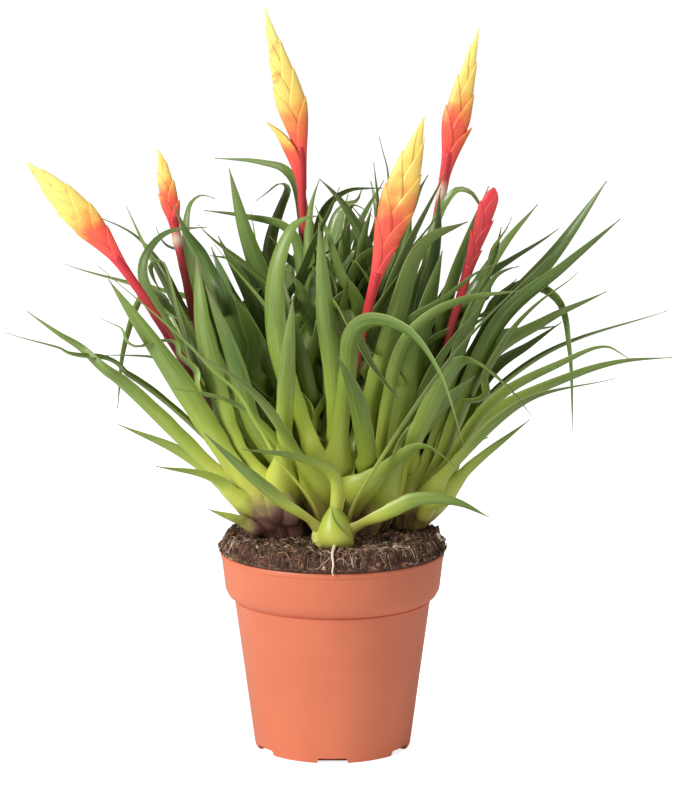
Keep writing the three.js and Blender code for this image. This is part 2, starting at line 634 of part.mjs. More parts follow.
// A scape from its socket up into the head, where it flattens into the closed bud
function scapeSolid(spike, grow) {
  const curve = new THREE.CatmullRomCurve3(spike.points, false, 'centripetal');
  const rings = [];
  for (let i = 0; i < SPIKE_POINTS; i += 2) {
    const way = i / (SPIKE_POINTS - 1);
    const { point, side, face } = spikeFrame(curve, way);
    const share = Math.max((way - spike.head) / (1 - spike.head), 0);
    const bud = Math.max(headHalfWidth(spike, share) * BUD_SHARE, BUD_TIP);
    const flattening = smooth(0, spike.peak, share);
    const wide = (share > 0 ? bud : SCAPE_RADIUS) + grow;
    const deep = blend(SCAPE_RADIUS, bud * HEAD_FLATNESS, flattening) + grow;
    rings.push(Array.from({ length: SCAPE_SIDES }, (unused, corner) => {
      const angle = corner * 2 * Math.PI / SCAPE_SIDES;
      return point.clone()
        .addScaledVector(side, Math.cos(angle) * wide)
        .addScaledVector(face, Math.sin(angle) * deep);
    }));
  }
  return solidOf(skin(rings));
}

// A bract: boat-shaped, keel outward, on alternate sides of the flattened head
function bractSolid(spike, number, grow) {
  const curve = new THREE.CatmullRomCurve3(spike.points, false, 'centripetal');
  const rank = number % 2 === 0 ? spike.side : -spike.side;
  const start = BRACT_SPAN * number / (BRACT_COUNT - 1);
  const length = blend(...BRACT_LENGTH, number / (BRACT_COUNT - 1));
  const splay = number === 0 ? spike.splay : 0;
  const rings = [];
  for (let i = 0; i <= BRACT_SECTIONS; i += 1) {
    const share = i / BRACT_SECTIONS;
    const head = Math.min(start + length * share, 1);
    const { point, side, face } = spikeFrame(curve, blend(spike.head, 1, head));
    const hull = headHalfWidth(spike, head);
    const body = Math.sin(Math.PI * blend(BRACT_FOOT, 1, share));
    const out = (hull + BRACT_TIP_STANDS_OUT * share) * smooth(...BRACT_RISE, share);
    const keel = out + splay * share * share;
    const half = Math.max(hull * HEAD_FLATNESS * body, BRACT_EDGE) + grow;
    const inner = keel - Math.max((out + hull * BRACT_PAST_MIDDLE) * body, BRACT_LEAST) - grow;
    const belly = blend(inner, keel, BRACT_BELLY);
    const at = (across, up) => point.clone()
      .addScaledVector(side, across * rank)
      .addScaledVector(face, up * rank);
    rings.push([at(keel + grow, 0), at(belly, half), at(inner, 0), at(belly, -half)]);
  }
  return solidOf(skin(rings));
}

function spikeSolid(spike, grow) {
  const bracts = Array.from({ length: BRACT_COUNT }, (unused, i) => bractSolid(spike, i, grow));
  return united([scapeSolid(spike, grow), ...bracts]);
}

function addMesh(group, name, solid, finish) {
  const mesh = new THREE.Mesh(geometryOf(solid), new THREE.MeshStandardMaterial(finish));
  mesh.name = name;
  group.add(mesh);
}

const rosettes = {};
Object.entries(ROSETTES).forEach(([name, rosette], number) => {
  const foot = new THREE.Vector3(rosette.x, rosette.y, soilHeight(Math.hypot(rosette.x, rosette.y)));
  const axis = new THREE.Vector3(...rosette.lean, 1).normalize();
  rosettes[name] = { ...rosette, foot, axis, heading: number * ROSETTE_TURN };
});
const leaves = makeLeaves(rosettes);
const spikes = makeSpikeLines(rosettes);
bendApart(leaves, spikes);

const plant = new THREE.Group();
addMesh(plant, 'pot', potSolid(), FINISHES.pot);

const wholeSoil = soilSolid();
const holes = united(Object.values(rosettes).map(holeSolid));
addMesh(plant, 'soil', wholeSoil.subtract(holes), FINISHES.soil);

const fatSpikes = united(spikes.map((spike) => spikeSolid(spike, GAP)));
const raisedSoil = wholeSoil.translate([0, 0, GAP]).subtract(holes);
let taken = fatSpikes.add(raisedSoil);
for (const [name, rosette] of Object.entries(rosettes)) {
  const own = leaves.filter((leaf) => leaf.name === name);
  const whole = united([coreSolid(rosette, 0), ...own.map((leaf) => leafSolid(leaf, 0))]);
  addMesh(plant, `rosette_${name}`, largestBody(whole.subtract(taken)), FINISHES.leaf);
  taken = united([taken, coreSolid(rosette, GAP), ...own.map((leaf) => leafSolid(leaf, GAP))]);
}
for (const spike of spikes) {
  addMesh(plant, `spike_${spike.name}`, spikeSolid(spike, 0), FINISHES.bract);
}

export default plant;
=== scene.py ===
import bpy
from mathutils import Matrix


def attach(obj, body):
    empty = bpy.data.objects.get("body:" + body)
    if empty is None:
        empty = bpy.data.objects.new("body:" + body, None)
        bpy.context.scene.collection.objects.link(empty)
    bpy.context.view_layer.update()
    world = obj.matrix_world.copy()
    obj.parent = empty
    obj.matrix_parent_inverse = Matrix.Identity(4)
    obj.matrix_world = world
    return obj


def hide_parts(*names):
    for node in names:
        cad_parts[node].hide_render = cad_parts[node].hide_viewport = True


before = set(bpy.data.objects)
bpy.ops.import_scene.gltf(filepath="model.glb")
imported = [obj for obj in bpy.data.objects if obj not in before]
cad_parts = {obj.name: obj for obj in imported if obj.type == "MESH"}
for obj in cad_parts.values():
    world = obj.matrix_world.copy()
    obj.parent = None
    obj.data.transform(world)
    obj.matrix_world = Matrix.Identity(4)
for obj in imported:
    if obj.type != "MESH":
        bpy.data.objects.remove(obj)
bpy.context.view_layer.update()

import math

import bpy
import numpy as np
from mathutils import Vector

# Lengths are in millimetres up to the moment a mesh is made; Blender gets metres.
mm = 0.001


def smooth(low, high, value):
    share = np.clip((value - low) / (high - low), 0, 1)
    return share * share * (3 - 2 * share)


def blend(low, high, share):
    return low + (high - low) * share


def unit(vectors):
    return vectors / np.maximum(np.linalg.norm(vectors, axis=-1, keepdims=True), 1e-9)


# Angles that go once round in even steps, and the points of a level circle of radius 1 at them.
def turnsRound(count):
    return np.arange(count) * 2 * math.pi / count


def levelCircle(count):
    angles = turnsRound(count)
    return np.stack([np.cos(angles), np.sin(angles), np.zeros(count)], axis=1)


# Lines. A curve goes through its points by cubics whose knots lie at the roots of the chords.

lineRules = {"samples": 201, "turnEase": [0, 0.45]}  # places measured, and where a turn eases in


def curveAt(points, shares):
    points = np.asarray(points, float)
    last = len(points) - 1
    padded = np.vstack([2 * points[0] - points[1], points, 2 * points[-1] - points[-2]])
    place = np.clip(np.asarray(shares, float), 0, 1) * last
    number = np.minimum(place.astype(int), last - 1)
    t = (place - number)[:, None]
    p0, p1, p2, p3 = (padded[number + step] for step in range(4))
    chords = ((p0, p1), (p1, p2), (p2, p3))
    d0, d1, d2 = (np.linalg.norm(end - start, axis=1, keepdims=True) ** 0.5 for start, end in chords)
    leave = ((p1 - p0) / d0 - (p2 - p0) / (d0 + d1) + (p2 - p1) / d1) * d1
    arrive = ((p2 - p1) / d1 - (p3 - p1) / (d1 + d2) + (p3 - p2) / d2) * d1
    square = 3 * (p2 - p1) - 2 * leave - arrive
    cube = 2 * (p1 - p2) + leave + arrive
    return p1 + leave * t + square * t ** 2 + cube * t ** 3


# Points at even steps along a curve, found from its length measured at many places.
def spacedPoints(points, count):
    shares = np.linspace(0, 1, lineRules["samples"])
    steps = np.linalg.norm(np.diff(curveAt(points, shares), axis=0), axis=1)
    length = np.concatenate([[0], np.cumsum(steps)])
    return curveAt(points, np.interp(np.linspace(0, length[-1], count), length, shares))


# Even lines (line, point, 3) read at any places counted in steps, by one cubic for each step.
# A place below 0 lies on the first cubic drawn on backwards.
def refine(lines, place):
    last = lines.shape[1] - 1
    before, after = 2 * lines[:, :1] - lines[:, 1:2], 2 * lines[:, -1:] - lines[:, -2:-1]
    padded = np.concatenate([before, lines, after], axis=1)
    number = np.clip(place.astype(int), 0, last - 1)
    t = (place - number)[None, :, None]
    p0, p1, p2, p3 = (padded[:, number + step] for step in range(4))
    square = 2 * p0 - 5 * p1 + 4 * p2 - p3
    cube = 3 * p1 - p0 - 3 * p2 + p3
    return 0.5 * (2 * p1 + (p2 - p0) * t + square * t ** 2 + cube * t ** 3)


# Directions along, across and out of each line, carried on without twist and then turned about it,
# by an angle that eases in over its lower part.
def carryFrames(lines, side, turn):
    last = lines.shape[1] - 1
    rows = np.arange(last + 1)
    along = unit(lines[:, np.minimum(rows + 1, last)] - lines[:, np.maximum(rows - 1, 0)])
    sides = np.empty_like(lines)
    for row in rows:
        side = unit(side - along[:, row] * np.sum(side * along[:, row], axis=1, keepdims=True))
        sides[:, row] = side
    angle = (turn[:, None] * smooth(*lineRules["turnEase"], np.linspace(0, 1, last + 1)))[..., None]
    sides = sides * np.cos(angle) + np.cross(along, sides) * np.sin(angle)
    return along, sides, np.cross(along, sides)


# Meshes. A loft is a tube of closed rings, all quads, its two ends closed by strips across.

def loftFaces(rows, around):
    ring = np.arange(rows - 1)[:, None] * around
    here = np.arange(around)[None, :]
    after = (here + 1) % around
    sides = np.stack([ring + here, ring + after, ring + around + after, ring + around + here], axis=-1)
    step = np.arange(around // 2 - 1)
    cap = np.stack([step, around - 1 - step, around - 2 - step, step + 1], axis=-1)
    return np.concatenate([sides.reshape(-1, 4), cap, cap[:, ::-1] + (rows - 1) * around])


def meshObject(name, points, faces, values, material):
    mesh = bpy.data.meshes.new(name)
    mesh.vertices.add(len(points))
    mesh.vertices.foreach_set("co", (points * mm).astype(np.float32).ravel())
    mesh.loops.add(faces.size)
    mesh.loops.foreach_set("vertex_index", faces.astype(np.int32).ravel())
    mesh.polygons.add(len(faces))
    mesh.polygons.foreach_set("loop_start", np.arange(0, faces.size, 4, dtype=np.int32))
    mesh.polygons.foreach_set("use_smooth", np.full(len(faces), True))
    for key, value in values.items():
        attribute = mesh.attributes.new(key, "FLOAT", "POINT")
        attribute.data.foreach_set("value", np.asarray(value, np.float32).ravel())
    mesh.update(calc_edges=True)
    mesh.validate()
    mesh.materials.append(material)
    return linked(bpy.data.objects.new(name, mesh))


def linked(thing):
    bpy.context.scene.collection.objects.link(thing)
    return thing


# One object of many lofts; rings is (loft, row, around, 3), each value spreads to (loft, row, around).
def lofted(name, rings, values, material):
    lofts, rows, around, _ = rings.shape
    starts = np.arange(lofts)[:, None, None] * rows * around
    faces = (loftFaces(rows, around)[None] + starts).reshape(-1, 4)
    values = {key: np.broadcast_to(value, rings.shape[:3]) for key, value in values.items()}
    return meshObject(name, rings.reshape(-1, 3), faces, values, material)


# Round rings about each line: point + radius * (side * cosine + face * sine of the angle round it).
def tubeRings(lines, radius, around, side):
    _, side, face = carryFrames(lines, side, np.zeros(len(lines)))
    turn = turnsRound(around)
    circle = side[:, :, None] * np.cos(turn)[:, None] + face[:, :, None] * np.sin(turn)[:, None]
    return lines[:, :, None] + radius[..., None, None] * circle


# Sections set on each line: point + side * the section's first number + face * its second.
def setOnLines(lines, side, face, section):
    return lines[:, :, None] + side[:, :, None] * section[..., :1] + face[:, :, None] * section[..., 1:]


def dress(piece, slot, *nodes):
    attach(piece, "root")
    if nodes:
        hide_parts(*nodes)
    return piece


# Materials

# A colour as a screen shows it, 0 to 255, turned to linear light.
def colour(red, green, blue):
    channels = np.array([red, green, blue]) / 255
    linear = np.where(channels <= 0.04045, channels / 12.92, ((channels + 0.055) / 1.055) ** 2.4)
    return (*linear.tolist(), 1)


# Wires one node tree: each call adds a node, sets its inputs and gives back one output. An input
# is another node's output, a number, or a colour of three numbers as a screen shows it.
class Wiring:
    def __init__(self, tree):
        self.tree = tree

    def plug(self, socket, value):
        if isinstance(value, bpy.types.NodeSocket):
            self.tree.links.new(value, socket)
        elif isinstance(value, tuple):
            socket.default_value = colour(*value)
        else:
            socket.default_value = value

    def add(self, kind, inputs, output=0, **settings):
        node = self.tree.nodes.new(kind)
        for key, value in settings.items():
            setattr(node, key, value)
        for key, value in inputs.items():
            self.plug(node.inputs[key], value)
        return node.outputs[output]

    def value(self, name):
        return self.add("ShaderNodeAttribute", {}, output="Fac", attribute_name=name)

    def math(self, operation, first, second=0.0):
        return self.add("ShaderNodeMath", {0: first, 1: second}, operation=operation)

    def times(self, first, second):
        return self.math("MULTIPLY", first, second)

    def mix(self, share, first, second):
        inputs = {"Factor": share, 6: first, 7: second}
        return self.add("ShaderNodeMix", inputs, output=2, data_type="RGBA")

    def range(self, value, low, high, toLow=0.0, toHigh=1.0):
        inputs = {"Value": value, "From Min": low, "From Max": high, "To Min": toLow, "To Max": toHigh}
        return self.add("ShaderNodeMapRange", inputs, interpolation_type="SMOOTHSTEP")

    def objectPlace(self):
        return self.add("ShaderNodeTexCoord", {}, output="Object")

    def noise(self, place, scale, detail=3.0, roughness=0.55):
        inputs = {"Vector": place, "Scale": scale, "Detail": detail, "Roughness": roughness}
        return self.add("ShaderNodeTexNoise", inputs)

    def ramp(self, value, stops):
        node = self.tree.nodes.new("ShaderNodeValToRGB")
        elements = node.color_ramp.elements
        stops = [(position, colour(*shade)) for position, shade in stops]
        elements[0].position, elements[0].color = stops[0]
        elements[1].position, elements[1].color = stops[-1]
        for position, shade in stops[1:-1]:
            elements.new(position).color = shade
        self.plug(node.inputs[0], value)
        return node.outputs[0]

    def bump(self, height, strength, distance):
        return self.add("ShaderNodeBump", {"Height": height, "Strength": strength, "Distance": distance})

    def group(self, tree, **inputs):
        node = self.tree.nodes.new("ShaderNodeGroup")
        node.node_tree = tree
        for key, value in inputs.items():
            self.plug(node.inputs[key], value)
        return node.outputs[0]


def newMaterial(name):
    material = bpy.data.materials.new(name)
    material.use_nodes = True
    return material, Wiring(material.node_tree)


def finished(material, **inputs):
    surface = material.node_tree.nodes["Principled BSDF"]
    for key, value in inputs.items():
        Wiring(material.node_tree).plug(surface.inputs[key.replace("_", " ")], value)
    return material


# A shader group with number or vector inputs and one number output.
def newGroup(name, inputs, output):
    tree = bpy.data.node_groups.new(name, "ShaderNodeTree")
    for key, kind in inputs.items():
        tree.interface.new_socket(key, in_out="INPUT", socket_type=f"NodeSocket{kind}")
    tree.interface.new_socket(output, in_out="OUTPUT", socket_type="NodeSocketFloat")
    given = tree.nodes.new("NodeGroupInput").outputs
    return tree, Wiring(tree), given, tree.nodes.new("NodeGroupOutput").inputs[0]


# Fine lengthwise veins: noise stretched along the piece, new for each seed.

veinRules = {"across": 15.0, "apart": 90.0, "detail": 2.0, "roughness": 0.5}


def makeVeins():
    inputs = {"Across": "Float", "Along": "Float", "Seed": "Float"}
    tree, wires, given, out = newGroup("veins", inputs, "Veins")
    place = wires.add("ShaderNodeCombineXYZ", {
        0: wires.times(given["Across"], veinRules["across"]),
        1: given["Along"],
        2: wires.times(given["Seed"], veinRules["apart"]),
    })
    wires.plug(out, wires.noise(place, 1.0, veinRules["detail"], veinRules["roughness"]))
    return tree


# A value that wanders a little from place to place, so that a colour's limits aren't straight.
def makeDrift():
    inputs = {"Value": "Float", "Place": "Vector", "Scale": "Float", "Amount": "Float"}
    tree, wires, given, out = newGroup("drift", inputs, "Value")
    wander = wires.math("SUBTRACT", wires.noise(given["Place"], given["Scale"]), 0.5)
    wires.plug(out, wires.math("ADD", given["Value"], wires.times(wander, given["Amount"])))
    return tree


# The margins of a leaf or bract: 0 up to a place across it, then rising to the amount at the edge.
def makeMargin():
    inputs = {"Across": "Float", "From": "Float", "Amount": "Float"}
    tree, wires, given, out = newGroup("margin", inputs, "Mask")
    wide = wires.math("ABSOLUTE", given["Across"])
    wires.plug(out, wires.range(wide, given["From"], 1.0, 0.0, given["Amount"]))
    return tree


veins, drift, margin = makeVeins(), makeDrift(), makeMargin()


def drifted(wires, value, place, scale, amount):
    return wires.group(drift, Value=value, Place=place, Scale=scale, Amount=amount)


# Veins and then a pale margin laid over a shade; gives the new shade and the veins.
def veined(wires, shade, along, look):
    across = wires.value("across")
    lengthwise = wires.times(along, look["veinStride"])
    vein = wires.group(veins, Across=across, Along=lengthwise, Seed=wires.value("tint"))
    shade = wires.mix(wires.range(vein, *look["veinLimits"]), shade, look["vein"])
    edge = wires.group(margin, Across=across, From=look["marginFrom"], Amount=look["marginMost"])
    return wires.mix(edge, shade, look["margin"]), vein


# Pot: a thin plastic shell, its outline turned about the upright axis

pot = {
    "height": 107, "rimRadius": 60, "bandBottomRadius": 57.6, "bandBottom": 86.5,
    "neckRadius": 53.7, "neckHeight": 82.4, "sideTopRadius": 52.6, "grooveRadius": 52.1,
    "baseRadius": 42, "baseRounding": 1.5, "footWidth": 8, "lipHeight": 3, "lipDepth": 0.6,
    "wall": 1.3, "floor": 2, "sides": 192, "sharp": 40,
    "notches": 6, "notchWidth": 16, "notchHeight": 3, "notchDepth": 7, "notchCorner": 1.2, "chamfer": 0.3,
    "drains": 6, "drainRadius": 4, "drainRing": 22, "drainSides": 32,
}
# In a look, a noise has its scale, detail and roughness, limits run from where an effect starts to
# where it is full, then its strength at both, and a bump has its strength and its depth in metres.
potLook = {
    "shades": [(205, 109, 75), (214, 119, 83)], "cloud": 14.0, "cloudLimits": (0.3, 0.7),
    "worn": (232, 152, 120), "rub": (60.0, 5.0, 0.7), "rubLimits": (0.62, 0.8, 0.0, 0.35),
    "roughness": (0.45, 0.55), "grain": (900.0, 2.0), "bump": (0.1, 0.0004),
}


# Radius and height of each point, from the foot up the outside, over the rim and down the inside.
# Points stand close together to round the edges, and a groove runs under the band.
def potOutline():
    wall, lip, rim, groove = pot["wall"], pot["lipDepth"], pot["rimRadius"], pot["grooveRadius"]
    top, lipZ = pot["height"], pot["height"] - pot["lipHeight"]
    base, neck, band = pot["baseRadius"], pot["neckRadius"], pot["bandBottomRadius"]
    rounding, floor = pot["baseRounding"], pot["floor"]
    neckZ, bandZ = pot["neckHeight"], pot["bandBottom"]
    outside = [
        (base - pot["footWidth"], 0), (base - rounding, 0), (base - 0.4, 0.4), (base, rounding),
        (pot["sideTopRadius"], neckZ - 1.7), (groove, neckZ - 1.4), (groove, neckZ - 0.7),
        (neck - 0.1, neckZ - 0.5), (neck + 0.5, neckZ), (neck + 2, neckZ + 1.1),
        (band - 0.9, bandZ - 1.2), (band - 0.3, bandZ), (band + 0.05, bandZ + 1.6),
        (rim - lip, lipZ - 0.6), (rim - lip, lipZ), (rim - 0.1, lipZ + 0.35), (rim, lipZ + 0.8),
        (rim, top - 0.7), (rim - 0.25, top - 0.15), (rim - 0.7, top),
    ]
    inside = [
        (rim - wall - 0.2, top), (rim - wall - 0.5, top - 0.4), (band - wall, bandZ + 1),
        (groove - wall, neckZ - 1), (base - wall, floor + rounding), (base - wall - rounding, floor),
    ]
    return np.array(outside + inside, float)


# A prism: a flat outline of points and the same outline shifted, with its walls.
def prism(name, outline, shift):
    count = len(outline)
    here = np.arange(count)
    after = (here + 1) % count
    walls = np.stack([here, after, after + count, here + count], axis=1)
    ends = [here[::-1].tolist(), (here + count).tolist()]
    mesh = bpy.data.meshes.new(name)
    mesh.from_pydata((np.concatenate([outline, outline + shift]) * mm).tolist(), [], walls.tolist() + ends)
    return linked(bpy.data.objects.new(name, mesh))


def outAndSide(turn):
    return np.array([math.cos(turn), math.sin(turn), 0]), np.array([-math.sin(turn), math.cos(turn), 0])


# A low archway with chamfered corners, pushed in through the foot of the wall.
def notchCutter(turn):
    half, top, corner = pot["notchWidth"] / 2, pot["notchHeight"], pot["notchCorner"]
    chamfer = corner * pot["chamfer"]
    flat = np.array([
        (half, -top), (half, top - corner), (half - chamfer, top - chamfer), (half - corner, top),
        (corner - half, top), (chamfer - half, top - chamfer), (-half, top - corner), (-half, -top),
    ])
    out, side = outAndSide(turn)
    outline = flat[:, :1] * side + flat[:, 1:] * [0, 0, 1] + out * (pot["baseRadius"] - pot["notchDepth"])
    return prism("notch", outline, out * pot["notchDepth"] * 2)


# A round hole through the floor.
def drainCutter(turn):
    middle = outAndSide(turn)[0] * pot["drainRing"] - [0, 0, pot["floor"]]
    outline = middle + levelCircle(pot["drainSides"]) * pot["drainRadius"]
    return prism("drain", outline, np.array([0, 0, 3 * pot["floor"]]))


def potPiece(material):
    outline = potOutline()
    points = outline[:, None, :1] * levelCircle(pot["sides"]) + outline[:, None, 1:] * [0, 0, 1]
    shell = lofted("pot_turned", points[None], {}, material)
    front = -math.pi / 2
    cutters = [notchCutter(front + turn) for turn in turnsRound(pot["notches"])]
    cutters += [drainCutter(front + turn + math.pi / pot["drains"]) for turn in turnsRound(pot["drains"])]
    for cutter in cutters:
        cut = shell.modifiers.new("cut", "BOOLEAN")
        cut.operation, cut.solver, cut.object = "DIFFERENCE", "EXACT", cutter
    mesh = bpy.data.meshes.new_from_object(shell.evaluated_get(bpy.context.evaluated_depsgraph_get()))
    mesh.materials.clear()
    mesh.materials.append(material)
    mesh.polygons.foreach_set("material_index", np.zeros(len(mesh.polygons), int))
    mesh.polygons.foreach_set("use_smooth", np.full(len(mesh.polygons), True))
    mesh.set_sharp_from_angle(angle=math.radians(pot["sharp"]))
    for helper in [shell, *cutters]:
        bpy.data.objects.remove(helper)
    return linked(bpy.data.objects.new("pot_skin", mesh))


def potMaterial():
    material, wires = newMaterial("pot")
    look, place = potLook, wires.objectPlace()
    cloud = wires.noise(place, look["cloud"])
    shade = wires.mix(wires.range(cloud, *look["cloudLimits"]), *look["shades"])
    rubbed = wires.range(wires.noise(place, *look["rub"]), *look["rubLimits"])
    shade = wires.mix(rubbed, shade, look["worn"])
    return finished(
        material, Base_Color=shade, Roughness=wires.range(cloud, *look["cloudLimits"], *look["roughness"]),
        Normal=wires.bump(wires.noise(place, *look["grain"]), *look["bump"]),
    )


# Soil: a dome that laps over the rim, with fibres and crumbs of peat

soil = {
    "radius": 61, "crown": 117.5, "shoulder": 115.5, "edge": 108.5, "edgeShare": 0.92, "gap": 0.35,
    "sides": 256, "rings": 50, "ringShares": [0.07, 0.995],
    "hills": [(22, 3, 0.9), (6, 5, 0.6)],  # size across, seed and height of each kind
    "octaves": 3, "waves": 5, "waveSpread": [0.7, 1.3], "octaveFall": 1.8,
    "calmFrom": 0.9, "calmEdge": 0.4, "raised": 0.2,
    "ragged": 0.7, "raggedHills": (11, 9), "raggedFrom": 0.85,
}
soilLook = {
    "dark": (50, 33, 27), "light": (134, 88, 66), "grain": (420.0, 5.0, 0.7), "grainLimits": (0.35, 0.75),
    "lumps": 90.0, "lumpLimits": (0.4, 0.7, 0.0, 0.5), "roughness": 0.95, "bump": (0.8, 0.001),
}


# Height of the soil's top: a dome that turns down steeply at its edge.
def soilHeight(radius):
    share = np.minimum(np.asarray(radius) / soil["radius"], 1)
    dome = soil["crown"] - (soil["crown"] - soil["shoulder"]) * share ** 2
    return blend(dome, soil["edge"], smooth(soil["edgeShare"], 1, share))


# Smooth uneven ground between about -1 and 1: sines of many headings added up.
def hills(x, y, size, seed):
    rng = np.random.default_rng(seed)
    total = np.zeros_like(x)
    for octave in range(soil["octaves"]):
        for _ in range(soil["waves"]):
            heading, phase = rng.uniform(0, 2 * math.pi, 2)
            wave = 2 * math.pi * 2 ** octave / size * rng.uniform(*soil["waveSpread"])
            height = np.sin((x * np.cos(heading) + y * np.sin(heading)) * wave + phase)
            total += height / soil["octaveFall"] ** octave
    return total / soil["waves"]


# The dome with its hills, which are calmer at the edge.
def groundHeight(x, y):
    radius = np.hypot(x, y)
    rough = sum(hills(x, y, size, seed) * high for size, seed, high in soil["hills"])
    calm = blend(1, soil["calmEdge"], smooth(soil["calmFrom"], 1, radius / soil["radius"]))
    return soilHeight(radius) + rough * calm + soil["raised"]


# A closed turned body: its lower rings follow the pot's inside, clear of it by the gap, and the
# rings above climb over the rim and close in over the ground.
def soilPiece(material):
    inset, base, floor = pot["wall"] + soil["gap"], pot["baseRadius"], pot["floor"]
    below = [
        (base - inset - 1.5, floor + 0.35), (base - inset, floor + 1.9),
        (pot["grooveRadius"] - inset, pot["neckHeight"] - 0.4),
        (pot["bandBottomRadius"] - inset, pot["bandBottom"] + 1),
        (pot["rimRadius"] - inset - 0.6, pot["height"] + 0.3), (soil["radius"] - 0.9, pot["height"] + 0.4),
        (soil["radius"] - 0.1, pot["height"] + 0.9),
    ]
    circle = levelCircle(soil["sides"]).T[:2]
    ragged = soil["ragged"] * hills(*circle * pot["rimRadius"], *soil["raggedHills"])
    rows = []
    for radius, height in below:
        x, y = circle * (radius + ragged * smooth(pot["height"], pot["height"] + 1, height))
        rows.append(np.stack([x, y, np.full(soil["sides"], height)], axis=-1))
    for share in 1 - np.linspace(*soil["ringShares"], soil["rings"]) ** 2:
        x, y = circle * (soil["radius"] + ragged * smooth(soil["raggedFrom"], 1, share)) * share
        rows.append(np.stack([x, y, groundHeight(x, y)], axis=-1))
    return lofted("soil_ground", np.array(rows)[None], {}, material)


def soilMaterial():
    material, wires = newMaterial("soil")
    look, place = soilLook, wires.objectPlace()
    grains = wires.noise(place, *look["grain"])
    shade = wires.mix(wires.range(grains, *look["grainLimits"]), look["dark"], look["light"])
    lumps = wires.range(wires.noise(place, look["lumps"]), *look["lumpLimits"])
    return finished(
        material, Base_Color=wires.mix(lumps, shade, look["dark"]), Roughness=look["roughness"],
        Normal=wires.bump(grains, *look["bump"]),
    )


# Fine roots and peat fibres: lines whose bearing curls on as they go, laid over the ground, and
# paler round a few spots.

fibres = {
    "count": 3800, "steps": 7, "sides": 3, "seed": 7, "from": 0.12, "length": [3, 13], "radius": [0.1, 0.28],
    "thinning": 0.5, "curl": 1.6, "jitter": 0.4, "lift": [-0.4, 2.0], "past": 0.3, "paleness": (0.9, 1.5),
    "spots": [(-50, -22, 9), (12, -44, 13), (34, -40, 9)], "spotPaleness": 0.6,  # x, y and reach
}


def fibrePiece(material):
    rng = np.random.default_rng(fibres["seed"])
    count, steps = fibres["count"], fibres["steps"]
    radius = soil["radius"] * np.sqrt(rng.uniform(fibres["from"], 1, count))
    angle, heading = rng.uniform(0, 2 * math.pi, (2, count))
    length = rng.uniform(*fibres["length"], count)
    curl = rng.normal(0, fibres["curl"], (count, 1))
    curl = curl + np.cumsum(rng.normal(0, fibres["jitter"], (count, steps)), axis=1)
    bearing = heading[:, None] + curl * np.linspace(0, 1, steps)
    stride = (length / steps)[:, None]
    x = (radius * np.cos(angle))[:, None] + np.cumsum(np.cos(bearing) * stride, axis=1)
    y = (radius * np.sin(angle))[:, None] + np.cumsum(np.sin(bearing) * stride, axis=1)
    far = np.maximum(np.hypot(x, y) / (soil["radius"] + fibres["past"]), 1)
    x, y = x / far, y / far
    lift = np.sin(np.linspace(0, math.pi, steps)) * rng.uniform(*fibres["lift"], (count, 1))
    lines = np.stack([x, y, groundHeight(x, y) + lift], axis=-1)
    thick = rng.uniform(*fibres["radius"], (count, 1)) * np.linspace(1, fibres["thinning"], steps)
    rings = tubeRings(lines, thick, fibres["sides"], np.tile([0.0, 0.0, 1.0], (count, 1)))
    away = [((x[:, 0] - a) ** 2 + (y[:, 0] - b) ** 2) / reach ** 2 for a, b, reach in fibres["spots"]]
    pale = fibres["spotPaleness"] * np.sum(np.exp(-np.array(away)), axis=0)
    tint = np.clip(rng.beta(*fibres["paleness"], count) + pale * rng.uniform(0, 1, count), 0, 1)
    return lofted("soil_fibres", rings, {"tint": tint[:, None, None]}, material)


# Crumbs of peat: small balls whose rings are roughened, stretched and half sunk in the ground.

crumbs = {
    "count": 1300, "seed": 8, "size": [0.5, 1.7], "rings": 5, "sides": 6, "pole": 0.35, "raised": 0.3,
    "rough": [0.7, 1.3], "stretch": [0.6, 1.3], "dull": 0.5, "paleFrom": 0.95,
}


def crumbPiece(material):
    rng = np.random.default_rng(crumbs["seed"])
    count, rows, around = crumbs["count"], crumbs["rings"], crumbs["sides"]
    radius = soil["radius"] * np.sqrt(rng.uniform(0, 1, count))
    angle = rng.uniform(0, 2 * math.pi, count)
    x, y = radius * np.cos(angle), radius * np.sin(angle)
    size = rng.uniform(*crumbs["size"], count)
    centre = np.stack([x, y, groundHeight(x, y) + size * crumbs["raised"]], axis=-1)
    polar = np.linspace(math.pi - crumbs["pole"], crumbs["pole"], rows)[:, None]
    turn = turnsRound(around)
    flat = np.sin(polar)
    ball = np.stack([flat * np.cos(turn), flat * np.sin(turn), np.cos(polar) + 0 * turn], axis=-1)
    rough = rng.uniform(*crumbs["rough"], (count, rows, around, 1))
    rough = rough * rng.uniform(*crumbs["stretch"], (count, 1, 1, 3))
    rings = centre[:, None, None] + ball * rough * size[:, None, None, None]
    tint = rng.uniform(0, crumbs["dull"], count)
    tint = tint + crumbs["dull"] * (rng.uniform(0, 1, count) > crumbs["paleFrom"])
    return lofted("soil_crumbs", rings, {"tint": tint[:, None, None]}, material)


# One pale bare root that hangs from the front shoot over the rim.

bareRoot = {
    "way": [
        (2, -40, 120), (1, -48, 119), (0, -56, 116.5),
        (0.5, -60.8, 112), (0, -61.6, 108.5), (0.6, -61.4, 106.5),
    ],
    "points": 40, "radius": [1.2, 0.3], "sides": 8, "tint": 0.95,
}


def rootPiece(material):
    lines = spacedPoints(bareRoot["way"], bareRoot["points"])[None]
    radius = np.linspace(*bareRoot["radius"], bareRoot["points"])[None]
    rings = tubeRings(lines, radius, bareRoot["sides"], np.array([[1.0, 0, 0]]))
    return lofted("bare_root", rings, {"tint": np.full((1, 1, 1), bareRoot["tint"])}, material)


